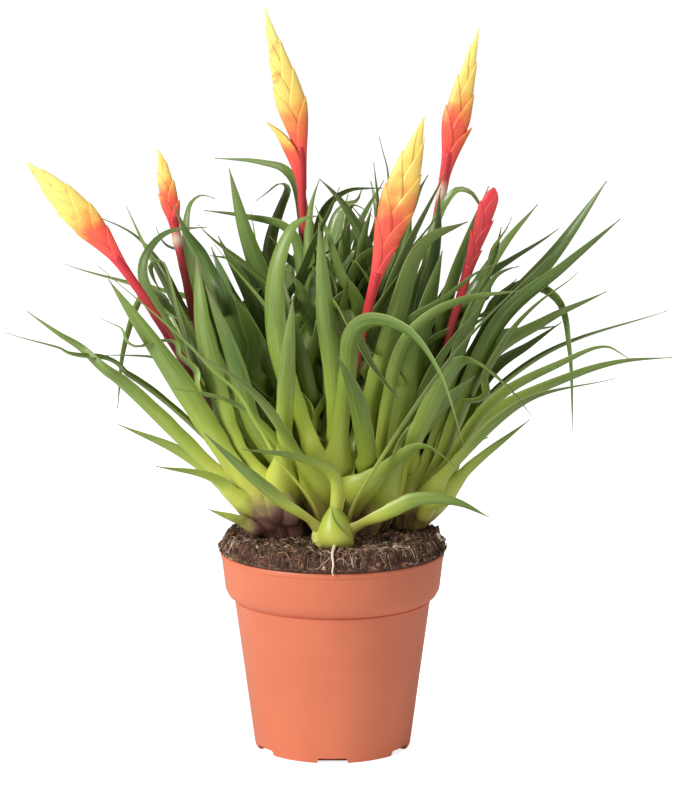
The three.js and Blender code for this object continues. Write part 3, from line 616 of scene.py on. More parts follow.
fibreLook = {
    "shades": [
        (0.0, (52, 35, 28)), (0.3, (92, 62, 46)), (0.52, (146, 108, 80)), (0.72, (192, 162, 132)),
        (0.92, (232, 214, 190)),
    ],
    "drift": (300.0, 0.3), "roughness": 0.85,
}


def fibreMaterial():
    material, wires = newMaterial("fibre")
    tint = drifted(wires, wires.value("tint"), wires.objectPlace(), *fibreLook["drift"])
    shade = wires.ramp(tint, fibreLook["shades"])
    return finished(material, Base_Color=shade, Roughness=fibreLook["roughness"])


# Rosettes: where each stands on the soil, how far its axis leans for each step up, its filling
# leaves, the inner leaves between them and the angle these fan over, how stout and how brown
# its sheaths are, and its share of dark leaves, which is partly their own colour and partly
# painted light and shade: least on the lit front left, full at the back; slim is how narrow its
# filling leaves are.

rosettes = {
    "front_left": {
        "x": -27, "y": -13, "lean": [-0.45, -0.1], "fillers": 4, "inner": 5, "spread": 240,
        "bulb": 1.15, "brown": 2, "dark": 0.35,
    },
    "front_middle": {
        "x": 1, "y": -32, "lean": [0, -0.2], "fillers": 3, "inner": 0, "spread": 0,
        "bulb": 0.3, "brown": 0.15, "dark": 0.9, "slim": 0.5,
    },
    "front_right": {
        "x": 22, "y": -5, "lean": [0.3, -0.1], "fillers": 2, "inner": 5, "spread": 220,
        "bulb": 1.1, "brown": 0.8, "dark": 0.8,
    },
    "right": {
        "x": 43, "y": 6, "lean": [0.35, 0.02], "fillers": 2, "inner": 7, "spread": 300,
        "bulb": 1, "brown": 0.6, "dark": 0.8,
    },
    "centre": {
        "x": 0, "y": -8, "lean": [0, 0], "fillers": 3, "inner": 6, "spread": 240,
        "bulb": 1.3, "brown": 0.9, "dark": 0.8,
    },
    "back_right": {
        "x": 25, "y": 27, "lean": [0.1, 0.1], "fillers": 4, "inner": 9, "spread": 360,
        "bulb": 1, "brown": 0.6, "dark": 1,
    },
    "back": {
        "x": -4, "y": 37, "lean": [0, 0.1], "fillers": 4, "inner": 9, "spread": 360,
        "bulb": 1, "brown": 0.6, "dark": 1,
    },
    "back_left": {
        "x": -31, "y": 19, "lean": [-0.2, 0.05], "fillers": 4, "inner": 9, "spread": 360,
        "bulb": 1, "brown": 0.6, "dark": 1,
    },
}
rosetteTurn = 61  # degrees from one rosette's first leaf on to the next one's

# Leaves that reach out of the tuft, laid one by one: width, turn about their own line in degrees,
# the points on the way and the tip.
longLeaves = {
    "front_left": [
        [11, 55, [[-68, -20, 158], [-117, -24, 207], [-160, -20, 239]]],
        [14, 40, [[-62, -30, 172], [-88, -36, 215], [-116, -36, 258]]],
        [10, 60, [[-80, -8, 160], [-114, -4, 176]]],
        [8, 40, [[-63, -34, 152], [-92, -44, 161]]],
        [9, 35, [[-50, -28, 128], [-65, -34, 136]]],
        [13, 20, [[-56, -24, 177], [-68, -26, 227], [-71, -20, 268]]],
        [10, 10, [[-67, -14, 185], [-81, -12, 233], [-90, -10, 264], [-96, -6, 260], [-91, -4, 248]]],
    ],
    "front_middle": [
        [10, 35, [[-26, -48, 141], [-45, -58, 160], [-66, -62, 182]]],
        [7, 20, [[1, -50, 156], [-17, -66, 169], [-46, -86, 178]]],
        [10, -65, [[24, -46, 133], [44, -52, 144], [64, -56, 144], [81, -58, 137]]],
    ],
    "front_right": [
        [13, -5, [[19, -16, 175], [35, -22, 235], [48, -18, 274], [71, -10, 285]]],
        [14, -45, [[37, -14, 177], [47, -12, 223], [58, -4, 269]]],
        [14, 20, [[40, -26, 164], [56, -28, 187], [75, -26, 206]]],
        [8, -5, [[28, -26, 182], [38, -32, 223], [53, -38, 240], [71, -40, 248], [100, -40, 253]]],
        [12, 0, [[48, -34, 181], [68, -52, 217], [87, -70, 209], [101, -84, 195]]],
    ],
    "right": [
        [9, -40, [[78, -4, 175], [127, -8, 202], [152, -8, 210], [180, -4, 212]]],
        [9, -30, [[84, -16, 188], [119, -24, 211], [143, -26, 221], [156, -26, 214]]],
        [10, -65, [[84, 10, 208], [114, 16, 228], [147, 20, 244]]],
        [12, 15, [[85, 20, 220], [120, 28, 263], [147, 32, 302]]],
        [11, -40, [[89, 2, 228], [122, 0, 259], [152, 2, 285]]],
        [9, 25, [[85, 26, 198], [107, 34, 213], [124, 36, 225]]],
        [8, -35, [[73, -12, 153], [104, -18, 181]]],
        [10, -20, [[53, -16, 133], [66, -22, 137]]],
        [6, 0, [[63, 12, 156], [84, 18, 165]]],
        [11, 25, [[71, 14, 229], [92, 22, 268], [110, 28, 290]]],
        [8, -45, [[73, 2, 226], [88, 6, 255], [99, 8, 259]]],
        [10, 0, [[68, 14, 229], [79, 14, 252], [87, 12, 266], [89, 8, 280]]],
    ],
    "centre": [
        [12, 40, [[-41, -26, 174], [-54, -30, 220], [-66, -28, 254]]],
        [11, -25, [[31, -36, 159], [48, -50, 172], [67, -66, 162]]],
        [7, 20, [[-17, -22, 152], [-52, -48, 195], [-82, -66, 206]]],
        [13, 15, [[-14, -20, 170], [-30, -34, 223], [-29, -38, 266], [-18, -34, 288], [-6, -30, 290]]],
        [11, 0, [[2, -26, 188], [-4, -34, 247], [-7, -34, 288]]],
        [10, -20, [[6, -36, 195], [15, -60, 237], [37, -80, 237], [53, -94, 219], [67, -98, 180]]],
        [12, 0, [[-1, -14, 191], [2, -30, 242], [16, -56, 221], [36, -72, 198]]],
        [11, 20, [[-11, -12, 180], [-21, -14, 226], [-25, -8, 254]]],
        [12, 45, [[-25, -10, 185], [-41, -8, 222], [-55, -2, 253]]],
    ],
    "back_right": [
        [10, -40, [[80, 28, 214], [101, 28, 244], [119, 22, 239], [126, 14, 213], [129, 12, 170]]],
        [11, -20, [[44, 20, 218], [55, 24, 260], [58, 28, 299]]],
        [9, 25, [[50, 32, 221], [54, 34, 270], [64, 32, 297], [74, 28, 296], [83, 26, 281]]],
        [10, -25, [[58, 14, 213], [69, 16, 261], [83, 16, 301]]],
        [10, 0, [[23, 34, 237], [40, 38, 282], [55, 42, 303]]],
        [12, 0, [[33, 10, 225], [39, 12, 262], [42, 12, 286]]],
        [10, 0, [[26, 24, 239], [21, 22, 263], [12, 20, 282], [3, 18, 295], [-7, 16, 305]]],
    ],
    "back": [
        [7, 0, [[-7, 38, 237], [-6, 40, 283], [7, 38, 296], [27, 34, 298]]],
        [8, -30, [[8, 34, 237], [11, 38, 288], [23, 34, 282]]],
        [13, 0, [[5, 22, 223], [5, 26, 278]]],
        [8, 0, [[19, 28, 260], [25, 30, 289], [22, 32, 312]]],
        [8, 0, [[23, 36, 248], [30, 38, 302], [25, 40, 325]]],
        [8, 0, [[-12, 20, 223], [-13, 24, 279], [-9, 26, 304]]],
        [8, 0, [[-15, 26, 238], [-23, 26, 275], [-47, 30, 283], [-69, 34, 286]]],
        [8, 0, [[-14, 44, 258], [-23, 46, 304], [-38, 50, 310], [-64, 56, 312]]],
        [10, -25, [[-36, 50, 260], [-25, 54, 299], [-42, 62, 288]]],
    ],
    "back_left": [
        [14, 0, [[-38, 0, 191], [-58, -4, 240], [-80, 0, 280]]],
        [11, 0, [[-38, 10, 225], [-61, 12, 275]]],
        [12, 0, [[-32, 16, 224], [-48, 18, 280], [-55, 20, 310]]],
        [9, 35, [[-79, 4, 209], [-102, 6, 258], [-89, 10, 277], [-67, 14, 279]]],
        [9, 35, [[-68, 16, 229], [-79, 20, 280], [-73, 24, 295], [-63, 28, 293]]],
        [9, 10, [[-89, 14, 246], [-100, 18, 267], [-110, 20, 290]]],
        [7, 0, [[-85, 26, 244], [-106, 32, 272], [-130, 36, 284]]],
        [8, 0, [[-71, 12, 186], [-93, 16, 207], [-109, 20, 209], [-126, 22, 209]]],
        [6, 0, [[-80, 30, 216], [-99, 40, 241], [-113, 48, 211], [-118, 50, 175]]],
        [10, 0, [[-38, 22, 239], [-52, 26, 259], [-66, 30, 262]]],
    ],
}
# The leaves between them, laid by rule: angles in degrees, each range from least to most.
filler = {
    "length": [150, 200], "width": [8, 12], "lean": [12, 44], "facing": 0.75, "bend": [15, 55],
    "turn": [-20, 20], "middleY": 4, "seed": 20, "draws": 5, "stretch": [12.9898, 43758.5453],
}
inner = {
    "length": [140, 200], "width": [9, 13], "lean": [2, 20], "facing": 0.6, "bend": [15, 115],
    "bendFacing": [0.3, 1], "turn": [-35, 35], "fanMiddle": 90, "seed": 50,
}
arc = {"goldenTurn": 137.508, "steps": 20, "stops": [6, 13, 20]}
leafLines = {
    "points": 25, "rootRadius": [3, 9], "rootLean": [0.1, 0.8], "rootRise": 4,
    "bulbReach": 16, "bulbShare": 0.3,
}


# A repeatable draw between 0 and 1 from a whole number: the loose end of a stretched sine.
def draw(index):
    mixed = math.sin((index + filler["seed"]) * filler["stretch"][0]) * filler["stretch"][1]
    return mixed - math.floor(mixed)


# A leaf's line: it rises out of the bulb along the rosette's axis, then follows its way to the tip.
def leafLine(rosette, way):
    first = np.array(way[0], float)
    root = rosette["foot"] + rosette["axis"] * leafLines["rootRise"]
    distance = np.linalg.norm(first - root)
    out = first - root - rosette["axis"] * np.dot(first - root, rosette["axis"])
    leaning = np.linalg.norm(out) / distance
    root = root + unit(out) * blend(*leafLines["rootRadius"], smooth(*leafLines["rootLean"], leaning))
    reach = min(np.linalg.norm(first - root) * leafLines["bulbShare"], leafLines["bulbReach"])
    rise = root + (unit(first - root) + rosette["axis"]) * reach / 2
    return spacedPoints([root, rise, *way], leafLines["points"])


# A way that leans out on its heading and bends over with its length, from steps added up.
def arcWay(rosette, heading, lean, bend, length):
    tilt = lean + bend * (np.arange(1, arc["steps"] + 1) / arc["steps"]) ** 2
    out = np.sin(tilt)
    ahead = np.stack([math.cos(heading) * out, math.sin(heading) * out, np.cos(tilt)], axis=1)
    start = rosette["foot"] + rosette["axis"] * leafLines["rootRise"]
    return (start + np.cumsum(ahead * length / arc["steps"], axis=0))[np.array(arc["stops"]) - 1]


# How far a heading faces out of the clump, 0 to 1.
def facingOut(rosette, heading):
    return 0.5 + 0.5 * math.cos(heading - math.atan2(rosette["y"] - filler["middleY"], rosette["x"]))


def leafOf(name, width, turn, points, long=False):
    return {"name": name, "width": width, "turn": math.radians(turn), "long": long, "points": points}


def makeLeaves():
    leaves = []
    for name, rosette in rosettes.items():
        for width, turn, way in longLeaves[name]:
            leaves.append(leafOf(name, width, turn, leafLine(rosette, way), long=True))
        for number in range(rosette["fillers"]):
            seed = len(leaves) * filler["draws"]
            heading = math.radians(number * arc["goldenTurn"] + rosette["heading"])
            facing = facingOut(rosette, heading)
            lean = math.radians(blend(*filler["lean"], blend(draw(seed), facing, filler["facing"])))
            bend = math.radians(blend(*filler["bend"], facing * draw(seed + 2)))
            way = arcWay(rosette, heading, lean, bend, blend(*filler["length"], draw(seed + 1)))
            width = blend(*filler["width"], draw(seed + 3)) * rosette.get("slim", 1)
            turn = blend(*filler["turn"], draw(seed + 4))
            leaves.append(leafOf(name, width, turn, leafLine(rosette, way)))
    return leaves


# Inner leaves by the same rule, fanned out over the rosette's own spread about its far side.
def makeInnerLeaves():
    rng = np.random.default_rng(inner["seed"])
    leaves = []
    for name, rosette in rosettes.items():
        for number in range(rosette["inner"]):
            fan = (number + 0.5) * arc["goldenTurn"] / 360 % 1 - 0.5
            heading = math.radians(inner["fanMiddle"] + rosette["spread"] * fan)
            facing = facingOut(rosette, heading)
            lean = math.radians(blend(*inner["lean"], blend(rng.uniform(), facing, inner["facing"])))
            bend = math.radians(blend(*inner["bend"], blend(*inner["bendFacing"], facing) * rng.uniform()))
            way = arcWay(rosette, heading, lean, bend, rng.uniform(*inner["length"]))
            width, turn = rng.uniform(*inner["width"]), rng.uniform(*inner["turn"])
            leaves.append(leafOf(name, width, turn, leafLine(rosette, way)))
    return leaves


bending = {
    "passes": 36, "otherRosette": 8.5, "sameRosette": 8, "scape": 8.5, "bracts": 13, "search": 26,
    "step": 1.6, "share": 0.35, "rootHold": [0.03, 0.2], "nest": [0.04, 0.2], "longHold": 0.25,
    "least": 0.01,
}


# Bends leaves apart where they come closer than their room: each close pair of points pushes
# itself apart by a share of what is missing, eased along the leaf. Roots and fixed lines stay.
def bendApart(leaves, fixedLines):
    lines = leaves + fixedLines
    count = leafLines["points"]
    points = np.concatenate([line["points"] for line in lines])
    owner = np.repeat(np.arange(len(lines)), count)
    share = np.tile(np.arange(count) / (count - 1), len(lines))
    fixed = owner >= len(leaves)
    group = np.array([list(rosettes).index(line["name"]) for line in lines])[owner]
    spike = np.array(["head" in line for line in lines])[owner]
    headStart = np.array([line.get("head", 1) for line in lines])[owner]
    long = np.array([line.get("long", False) for line in lines])[owner]

    a, b = np.triu_indices(len(points), 1)
    near = (owner[a] != owner[b]) & ~fixed[a] & (np.abs(points[a, 0] - points[b, 0]) <= bending["search"])
    a, b = a[near], b[near]
    near = np.linalg.norm(points[a] - points[b], axis=1) <= bending["search"]
    a, b = a[near], b[near]
    same = bending["sameRosette"] * smooth(*bending["nest"], np.minimum(share[a], share[b]))
    need = np.where(group[a] != group[b], bending["otherRosette"], same)
    need = np.where(spike[b], np.where(share[b] > headStart[b], bending["bracts"], bending["scape"]), need)
    a, b, need = a[need > 0], b[need > 0], need[need > 0]

    weight = np.where(fixed, 0, smooth(*bending["rootHold"], share))[:, None]
    hold = np.where(long[:, None], [bending["longHold"], 1, bending["longHold"]], 1)
    for _ in range(bending["passes"]):
        between = points[a] - points[b]
        distance = np.maximum(np.linalg.norm(between, axis=1), bending["least"])
        between *= (bending["share"] * np.maximum(need - distance, 0) / distance)[:, None]
        push = np.stack([
            np.bincount(a, between[:, axis], len(points)) - np.bincount(b, between[:, axis], len(points))
            for axis in range(3)
        ], axis=1)
        size = np.maximum(np.linalg.norm(push, axis=1, keepdims=True), 1e-9)
        push = (push * np.minimum(1, bending["step"] / size)).reshape(len(lines), count, 3)
        before = np.concatenate([push[:, :1], push[:, :-1]], axis=1)
        after = np.concatenate([push[:, 1:], push[:, -1:]], axis=1)
        points += ((2 * push + before + after) / 4).reshape(-1, 3) * weight * hold
    for number, line in enumerate(leaves):
        line["points"] = points[number * count:(number + 1) * count]


# Sizes are in millimetres, arcs in degrees and the rest are shares; pairs run from root to tip or
# from least to most.
leafShape = {
    "rows": 66, "columns": 9, "below": 0.9,
    "taperStart": [0.6, 0.28], "taperLean": [0.4, 0.8], "taperPower": 1.9, "tipHalfWidth": 0.3,
    "sheathHalfWidth": 9.6, "fullLength": 90, "sheathFoot": 0.62, "swell": [-6, 13],
    "sheathEnd": 46, "sheathFull": 0.3, "sheathMost": 0.5, "neck": 0.84, "neckEnd": [0.2, 0.6],
    "bulge": 4, "bulgeRise": [0, 12], "arcs": [58, 112, 30], "tipArc": [0.55, 1],
    "thickness": [0.8, 0.35], "thinning": [0.5, 1], "sheathThicker": 1.2, "edgeThinner": 0.75,
    "wave": 0.03, "waves": [19, 7], "greenAfter": 60, "greenShare": 0.65,
    "seed": 100, "dryPower": 1.5, "leastBrown": 0.55,
}


# Thin channelled blades. A section is an arc across the leaf: its points lie at half width times
# sine over the arc's own sine, and rise by one less cosine. The sheath at the root is wider, a
# deeper arc, and bulges out. Each ring runs over the inner face and back under the outer one.
def leafRings(leaves):
    shape, rows = leafShape, leafShape["rows"]
    coarse = np.array([leaf["points"] for leaf in leaves])
    last = coarse.shape[1] - 1
    place = np.linspace(-shape["below"], last, rows)
    lines = refine(coarse, place)
    out = unit((lines[:, rows // 2] - lines[:, 0]) * [1, 1, 0])
    side = np.cross(np.tile([0.0, 0.0, 1.0], (len(leaves), 1)), out)
    _, side, face = carryFrames(lines, side, np.array([leaf["turn"] for leaf in leaves]))

    stride = np.mean(np.linalg.norm(np.diff(coarse, axis=1), axis=2), axis=1)[:, None]
    length = stride * last
    reach = place[None] * stride
    share = np.clip(place[None] / last, 0, 1) + np.zeros_like(reach)
    bulb = np.array([rosettes[leaf["name"]]["bulb"] for leaf in leaves])[:, None]
    sheathEnd = np.minimum(shape["sheathEnd"] * bulb, length * shape["sheathMost"])
    sheathed = 1 - smooth(sheathEnd * shape["sheathFull"], sheathEnd, reach)

    width = np.array([leaf["width"] for leaf in leaves])[:, None]
    width = width * blend(shape["neck"], 1, smooth(*shape["neckEnd"], share))
    leaning = np.linalg.norm((lines[:, -1] - lines[:, 0])[:, :2], axis=1)[:, None] / length
    start = blend(*shape["taperStart"], smooth(*shape["taperLean"], leaning))
    tapered = np.clip((share - start) / (1 - start), 0, 1)
    wavy = 1 + shape["wave"] * np.sin(share * shape["waves"][0] + width * shape["waves"][1])
    half = width / 2 * (1 - tapered ** shape["taperPower"]) * wavy
    stout = shape["sheathHalfWidth"] * bulb * np.minimum(length / shape["fullLength"], 1)
    foot = blend(shape["sheathFoot"], 1, smooth(*shape["swell"], reach))
    half = blend(half, np.maximum(stout, width / 2) * foot, sheathed)
    half = np.maximum(half, shape["tipHalfWidth"])[..., None, None]

    middle, root, tip = np.radians(shape["arcs"])
    angle = blend(blend(middle, root, sheathed), tip, smooth(*shape["tipArc"], share))[..., None]
    thick = blend(*shape["thickness"], smooth(*shape["thinning"], share)) + shape["sheathThicker"] * sheathed
    bulge = shape["bulge"] * bulb * smooth(*shape["bulgeRise"], reach) * sheathed

    v = np.sin(np.linspace(-math.pi / 2, math.pi / 2, shape["columns"]))
    bow = angle * v
    base = np.stack([np.sin(bow), 1 - np.cos(bow)], axis=-1)
    base = base * (half / np.sin(np.minimum(angle, math.pi / 2))[..., None])
    normal = np.stack([-np.sin(bow), np.cos(bow)], axis=-1)
    body = normal * (thick[..., None] / 2 * (1 - shape["edgeThinner"] * v ** 2))[..., None]
    section = np.concatenate([base + body, (base - body)[:, :, ::-1]], axis=2)
    lines = lines - face * bulge[..., None]
    return setOnLines(lines, side, face, section)[:, :, ::-1], {
        "along": share[..., None], "reach": reach[..., None],
        "height": (reach / (shape["greenAfter"] + shape["greenShare"] * length))[..., None],
        "across": np.concatenate([v, v[::-1]])[::-1],
        "inner": np.concatenate([np.ones(len(v)), np.zeros(len(v))])[::-1],
    }


def rosettePiece(name, leaves, material):
    own = [leaf for leaf in leaves if leaf["name"] == name]
    rings, values = leafRings(own)
    rng = np.random.default_rng(leafShape["seed"] + list(rosettes).index(name))
    tint, dry, brown = rng.uniform(0, 1, (3, len(own)))[:, :, None, None]
    # The rosette's share of dark leaves scales each leaf's tint. This is partly painted shade: full at the
    # back and least on the lit front left.
    values["tint"] = tint * rosettes[name]["dark"]
    values["dry"] = dry ** leafShape["dryPower"]
    values["brown"] = blend(leafShape["leastBrown"], 1, brown) * rosettes[name]["brown"]
    return lofted(f"leaves_{name}", rings, values, material)


pup = {
    "rosette": "front_middle", "radius": 11, "height": 29, "sunk": 3, "ahead": 4, "rows": 48, "sides": 96,
    "shares": [0.04, 0.995], "drop": 0.52, "scales": 3, "scaleFull": 0.9, "twist": 1.1, "step": 0.2,
    "along": 0.5, "reach": 9, "green": [0.1, 0.35], "tint": 0.25, "brown": 0.3,
}


# The pup's bulb: an onion, its half width the sine of half a turn by its height's share, drawn
# down by a power, which grows by a step round each scale, up to that scale's edge.
def pupPiece(material):
    rosette = rosettes[pup["rosette"]]
    share = np.linspace(*pup["shares"], pup["rows"])[:, None]
    turn = np.arange(pup["sides"])[None] / pup["sides"]
    within = (turn * pup["scales"] + share * pup["twist"]) % 1
    girth = np.sin(math.pi * share ** pup["drop"])
    radius = pup["radius"] * girth * (1 + pup["step"] * (smooth(0, pup["scaleFull"], within) - 0.5))
    across = np.stack([np.cos(turn * 2 * math.pi), np.sin(turn * 2 * math.pi), 0 * turn], axis=-1)
    centre = rosette["foot"] + rosette["axis"] * (share * pup["height"] - pup["sunk"])[..., None]
    centre = centre - [0, pup["ahead"], 0]
    share, (green, greener) = share[None], pup["green"]
    return lofted("pup_bulb", (centre + across * radius[..., None])[None], {
        "along": share * pup["along"], "reach": share * pup["height"] + pup["reach"],
        "height": share * greener + green, "across": within[None] * 2 - 1, "inner": np.zeros(1),
        "tint": np.full(1, pup["tint"]), "dry": np.zeros(1), "brown": np.full(1, pup["brown"]),
    }, material)


# Colours up a young and an old leaf, from the root, and what lies over them. Limits are where each
# comes in and then, where two more follow, how strong it is at either end.
leafLook = {
    "fresh": [
        (0.0, (172, 146, 76)), (0.05, (178, 164, 70)), (0.2, (196, 200, 72)), (0.42, (154, 174, 46)),
        (0.65, (100, 128, 32)), (1.0, (108, 136, 52)),
    ],
    "deep": [
        (0.0, (142, 112, 62)), (0.06, (158, 148, 62)), (0.2, (158, 174, 54)), (0.38, (90, 116, 30)),
        (0.62, (54, 86, 26)), (1.0, (60, 90, 34)),
    ],
    "heightDrift": (60.0, 0.12), "veinStride": 0.03, "innerDeep": 0.35,
    "bloom": (130, 144, 76), "bloomLimits": (0.3, 0.7, 0.0, 0.2),
    "vein": (178, 196, 108), "veinLimits": (0.4, 0.7, 0.0, 0.28),
    "margin": (186, 200, 116), "marginFrom": 0.86, "marginMost": 0.3,
    "spot": (150, 120, 74), "spots": (260.0, 2.0), "spotLimits": (0.7, 0.78, 0.0, 0.45),
    "spotHeights": (0.1, 0.5, 1.0, 0.0), "dry": (128, 110, 76), "dryLimits": (0.9, 1.0),
    "brown": (104, 70, 60), "brownDrift": (110.0, 14.0), "brownLimits": (4.0, 30.0, 1.0, 0.0),
    "roughness": (0.46, 0.38), "coat": (0.12, 0.5), "coatRoughness": 0.2, "bump": (0.22, 0.0004),
}


def leafMaterial():
    material, wires = newMaterial("leaf")
    look, place = leafLook, wires.objectPlace()
    tint, reach, inside = map(wires.value, ("tint", "reach", "inner"))
    height = drifted(wires, wires.value("height"), place, *look["heightDrift"])
    deep = wires.ramp(height, look["deep"])
    # A leaf's tint takes it from the young colour towards the old. Through the rosettes' shares this also
    # paints light and shade: lighter leaves on the lit front left, darker ones at the back.
    shade = wires.mix(tint, wires.ramp(height, look["fresh"]), deep)
    shade = wires.mix(wires.times(inside, look["innerDeep"]), shade, deep)
    bloom = wires.range(height, *look["bloomLimits"])
    bloom = wires.times(bloom, wires.math("SUBTRACT", 1.0, tint))
    shade, vein = veined(wires, wires.mix(bloom, shade, look["bloom"]), reach, look)
    spots = wires.range(wires.noise(place, *look["spots"]), *look["spotLimits"])
    spots = wires.times(spots, wires.range(height, *look["spotHeights"]))
    shade = wires.mix(spots, shade, look["spot"])
    dryness = wires.times(wires.range(wires.value("along"), *look["dryLimits"]), wires.value("dry"))
    shade = wires.mix(dryness, shade, look["dry"])
    low = wires.range(drifted(wires, reach, place, *look["brownDrift"]), *look["brownLimits"])
    shade = wires.mix(wires.times(low, wires.value("brown")), shade, look["brown"])
    return finished(
        material, Base_Color=shade, Roughness=wires.range(inside, 0.0, 1.0, *look["roughness"]),
        Coat_Weight=wires.range(inside, 0.0, 1.0, *look["coat"]), Coat_Roughness=look["coatRoughness"],
        Normal=wires.bump(vein, *look["bump"]),
    )


# Spikes: the way each takes, the share of it where the head begins, and the head's form: half
# widths at its foot and full part, where it is fullest and how it narrows to its beak, the side
# of its lowest bract and how far that one's tip stands out. Red gives way to yellow at the share
# red of the head, from the ripeness foot at its start; ring is how pale a collar it has below.

spikes = {
    "front_left": {
        "way": [[-77, -22, 211], [-101, -25, 251], [-121, -26, 279], [-158, -26, 318]],
        "head": 0.62, "foot": 2.8, "full": 8, "peak": 0.55, "beak": 1.9, "side": 1, "splay": 0,
        "bracts": 8, "red": 0.52, "ripe": 0.14, "ring": 0,
    },
    "back_left": {
        "way": [[-70, 22, 215], [-80, 26, 256], [-93, 34, 319]],
        "head": 0.76, "foot": 2.8, "full": 5, "peak": 0.4, "beak": 2, "side": 1, "splay": 0,
        "bracts": 6, "red": 0.56, "ripe": 0.3, "ring": 1,
    },
    "back": {
        "way": [[-9, 32, 215], [-16, 31, 285], [-18, 30, 325], [-36, 26, 394]],
        "head": 0.63, "foot": 3, "full": 8, "peak": 0.5, "beak": 1.2, "side": -1, "splay": 8,
        "bracts": 8, "red": 0.42, "ripe": 0.26, "ring": 0,
    },
    "centre": {
        "way": [[8, -16, 190], [21, -32, 252], [33, -40, 296], [47, -44, 342]],
        "head": 0.5, "foot": 2.8, "full": 9.2, "peak": 0.6, "beak": 1.5, "side": 1, "splay": 0,
        "bracts": 8, "red": 0.62, "ripe": 0.2, "ring": 0,
    },
    "back_right": {
        "way": [[46, 38, 237], [57, 40, 285], [63, 40, 318], [78, 40, 383]],
        "head": 0.66, "foot": 3.2, "full": 7.5, "peak": 0.45, "beak": 1.2, "side": 1, "splay": 1.5,
        "bracts": 7, "red": 0.5, "ripe": 0.26, "ring": 1,
    },
    "right": {
        "way": [[58, 8, 203], [69, 6, 247], [85, 0, 302]],
        "head": 0.68, "foot": 3, "full": 4.8, "peak": 0.7, "beak": 5, "side": 1, "splay": 0,
        "bracts": 5, "red": 1.6, "ripe": 0.02, "ring": 0,
    },
}
# Sizes are in millimetres, the wrap either way from the keel in degrees, and the rest are shares.
spikeShape = {
    "points": 25, "steps": 400, "socketFloor": 8, "straight": 20, "swell": 1.9, "flatness": 0.42,
    "scapeRadius": 2.3, "scapeRows": 90, "scapeSides": 16, "scapeEnd": 0.25, "nodes": 13, "nodeSwell": 0.1,
    "ringReach": 0.03, "ringSwell": 0.5,
    "span": 0.6, "lengths": [0.42, 0.4], "rows": 31, "columns": 17, "lift": [-0.9, 0.22],
    "wrap": 118, "wrapPowers": [2.2, 0.6], "leastWrap": 4, "skin": 0.4, "leastHalf": [0.6, 0.3, 0.2],
    "tipStandsOut": 0.3, "splayWider": 0.32, "splayRiper": 0.03, "tipRiper": 0.06,
    "bud": 0.88, "budFrom": 0.02, "leastBud": 0.35, "budRows": 44, "budSides": 20,
}


def makeSpikeLines():
    lines = []
    for name, spike in spikes.items():
        rosette = rosettes[name]
        root = rosette["foot"] + rosette["axis"] * spikeShape["socketFloor"]
        above = root + rosette["axis"] * spikeShape["straight"]
        points = spacedPoints([root, above, *spike["way"]], spikeShape["points"])
        lines.append({"name": name, **spike, "points": points})
    return lines


# Half width of a head along its length: a narrow foot, a full middle and a beak.
def headHalfWidth(spike, share):
    rising = blend(spike["foot"], spike["full"], smooth(0, spike["peak"], share) ** spikeShape["swell"])
    past = np.clip((share - spike["peak"]) / (1 - spike["peak"]), 0, 1)
    return np.where(share < spike["peak"], rising, spike["full"] * (1 - past ** spike["beak"]))


# A spike's line in many even steps, and such a line read at places counted in those steps.
def denseLine(spike):
    return spacedPoints(spike["points"], spikeShape["steps"] + 1)


def readAt(line, place):
    return np.stack([np.interp(place, np.arange(len(line)), line[:, axis]) for axis in range(3)], axis=-1)


# Point, side and face of a spike's line at shares of its head; flat faces turn to the front.
def headFrames(spike, head):
    place = blend(spike["head"], 1, np.clip(head, 0, 1)) * spikeShape["steps"]
    dense = denseLine(spike)
    along = unit(readAt(unit(np.gradient(dense, axis=0)), place))
    side = unit(np.array([1.0, 0, 0]) - along * along[..., :1])
    return readAt(dense, place), side, np.cross(along, side)


# How ripe a head is at shares of its length: half at the share where red gives way to yellow.
def ripeness(spike, head):
    return spike["ripe"] + (0.5 - spike["ripe"]) * head / spike["red"]


# Boat-shaped bracts, keel outward, on alternate sides. A bract is a strip of the flattened head's
# own lens section, wrapped round from its keel by an angle that shrinks to nothing at its tip,
# and lifted the more the nearer its tip, so that each lies over the one above it.
def bractRings(spike):
    shape = spikeShape
    number = np.arange(spike["bracts"])[:, None]
    rank = np.where(number % 2 == 0, 1.0, -1.0) * spike["side"]
    order = number / (spike["bracts"] - 1)
    share = np.linspace(0, 1, shape["rows"])[None]
    head = shape["span"] * order + blend(*shape["lengths"], order) * share
    point, side, face = headFrames(spike, head)
    splayed = np.where(number == 0, spike["splay"], 0.0)
    out = (splayed + shape["tipStandsOut"]) * share ** 2
    leastHalf, leastShell, leastDepth = shape["leastHalf"]
    wide = np.maximum(headHalfWidth(spike, head), leastHalf) + blend(*shape["lift"], share)
    wide = wide + splayed * shape["splayWider"] * np.sin(math.pi * share) ** 2
    keelward, tipward = shape["wrapPowers"]
    wrap = np.maximum(shape["wrap"] * (1 - share ** keelward) ** tipward, shape["leastWrap"])
    v = np.linspace(-1, 1, shape["columns"])
    angle = np.radians(wrap)[..., None] * v

    def shell(inset):
        radius = np.maximum(wide - inset, leastShell)[..., None]
        deep = np.maximum(wide * shape["flatness"] - inset, leastDepth)[..., None]
        return np.stack([radius * np.cos(angle) + out[..., None], deep * np.sin(angle)], axis=-1)

    section = np.concatenate([shell(0.0), shell(shape["skin"])[:, :, ::-1]], axis=2) * rank[..., None, None]
    ripe = ripeness(spike, head) + (share - 0.5) * shape["tipRiper"]
    ripe = ripe + splayed * shape["splayRiper"] * share ** 2
    return setOnLines(point, side, face, section), {
        "ripe": ripe[..., None], "along": share[..., None], "across": np.concatenate([v, v[::-1]]),
        "tint": order[..., None],
    }


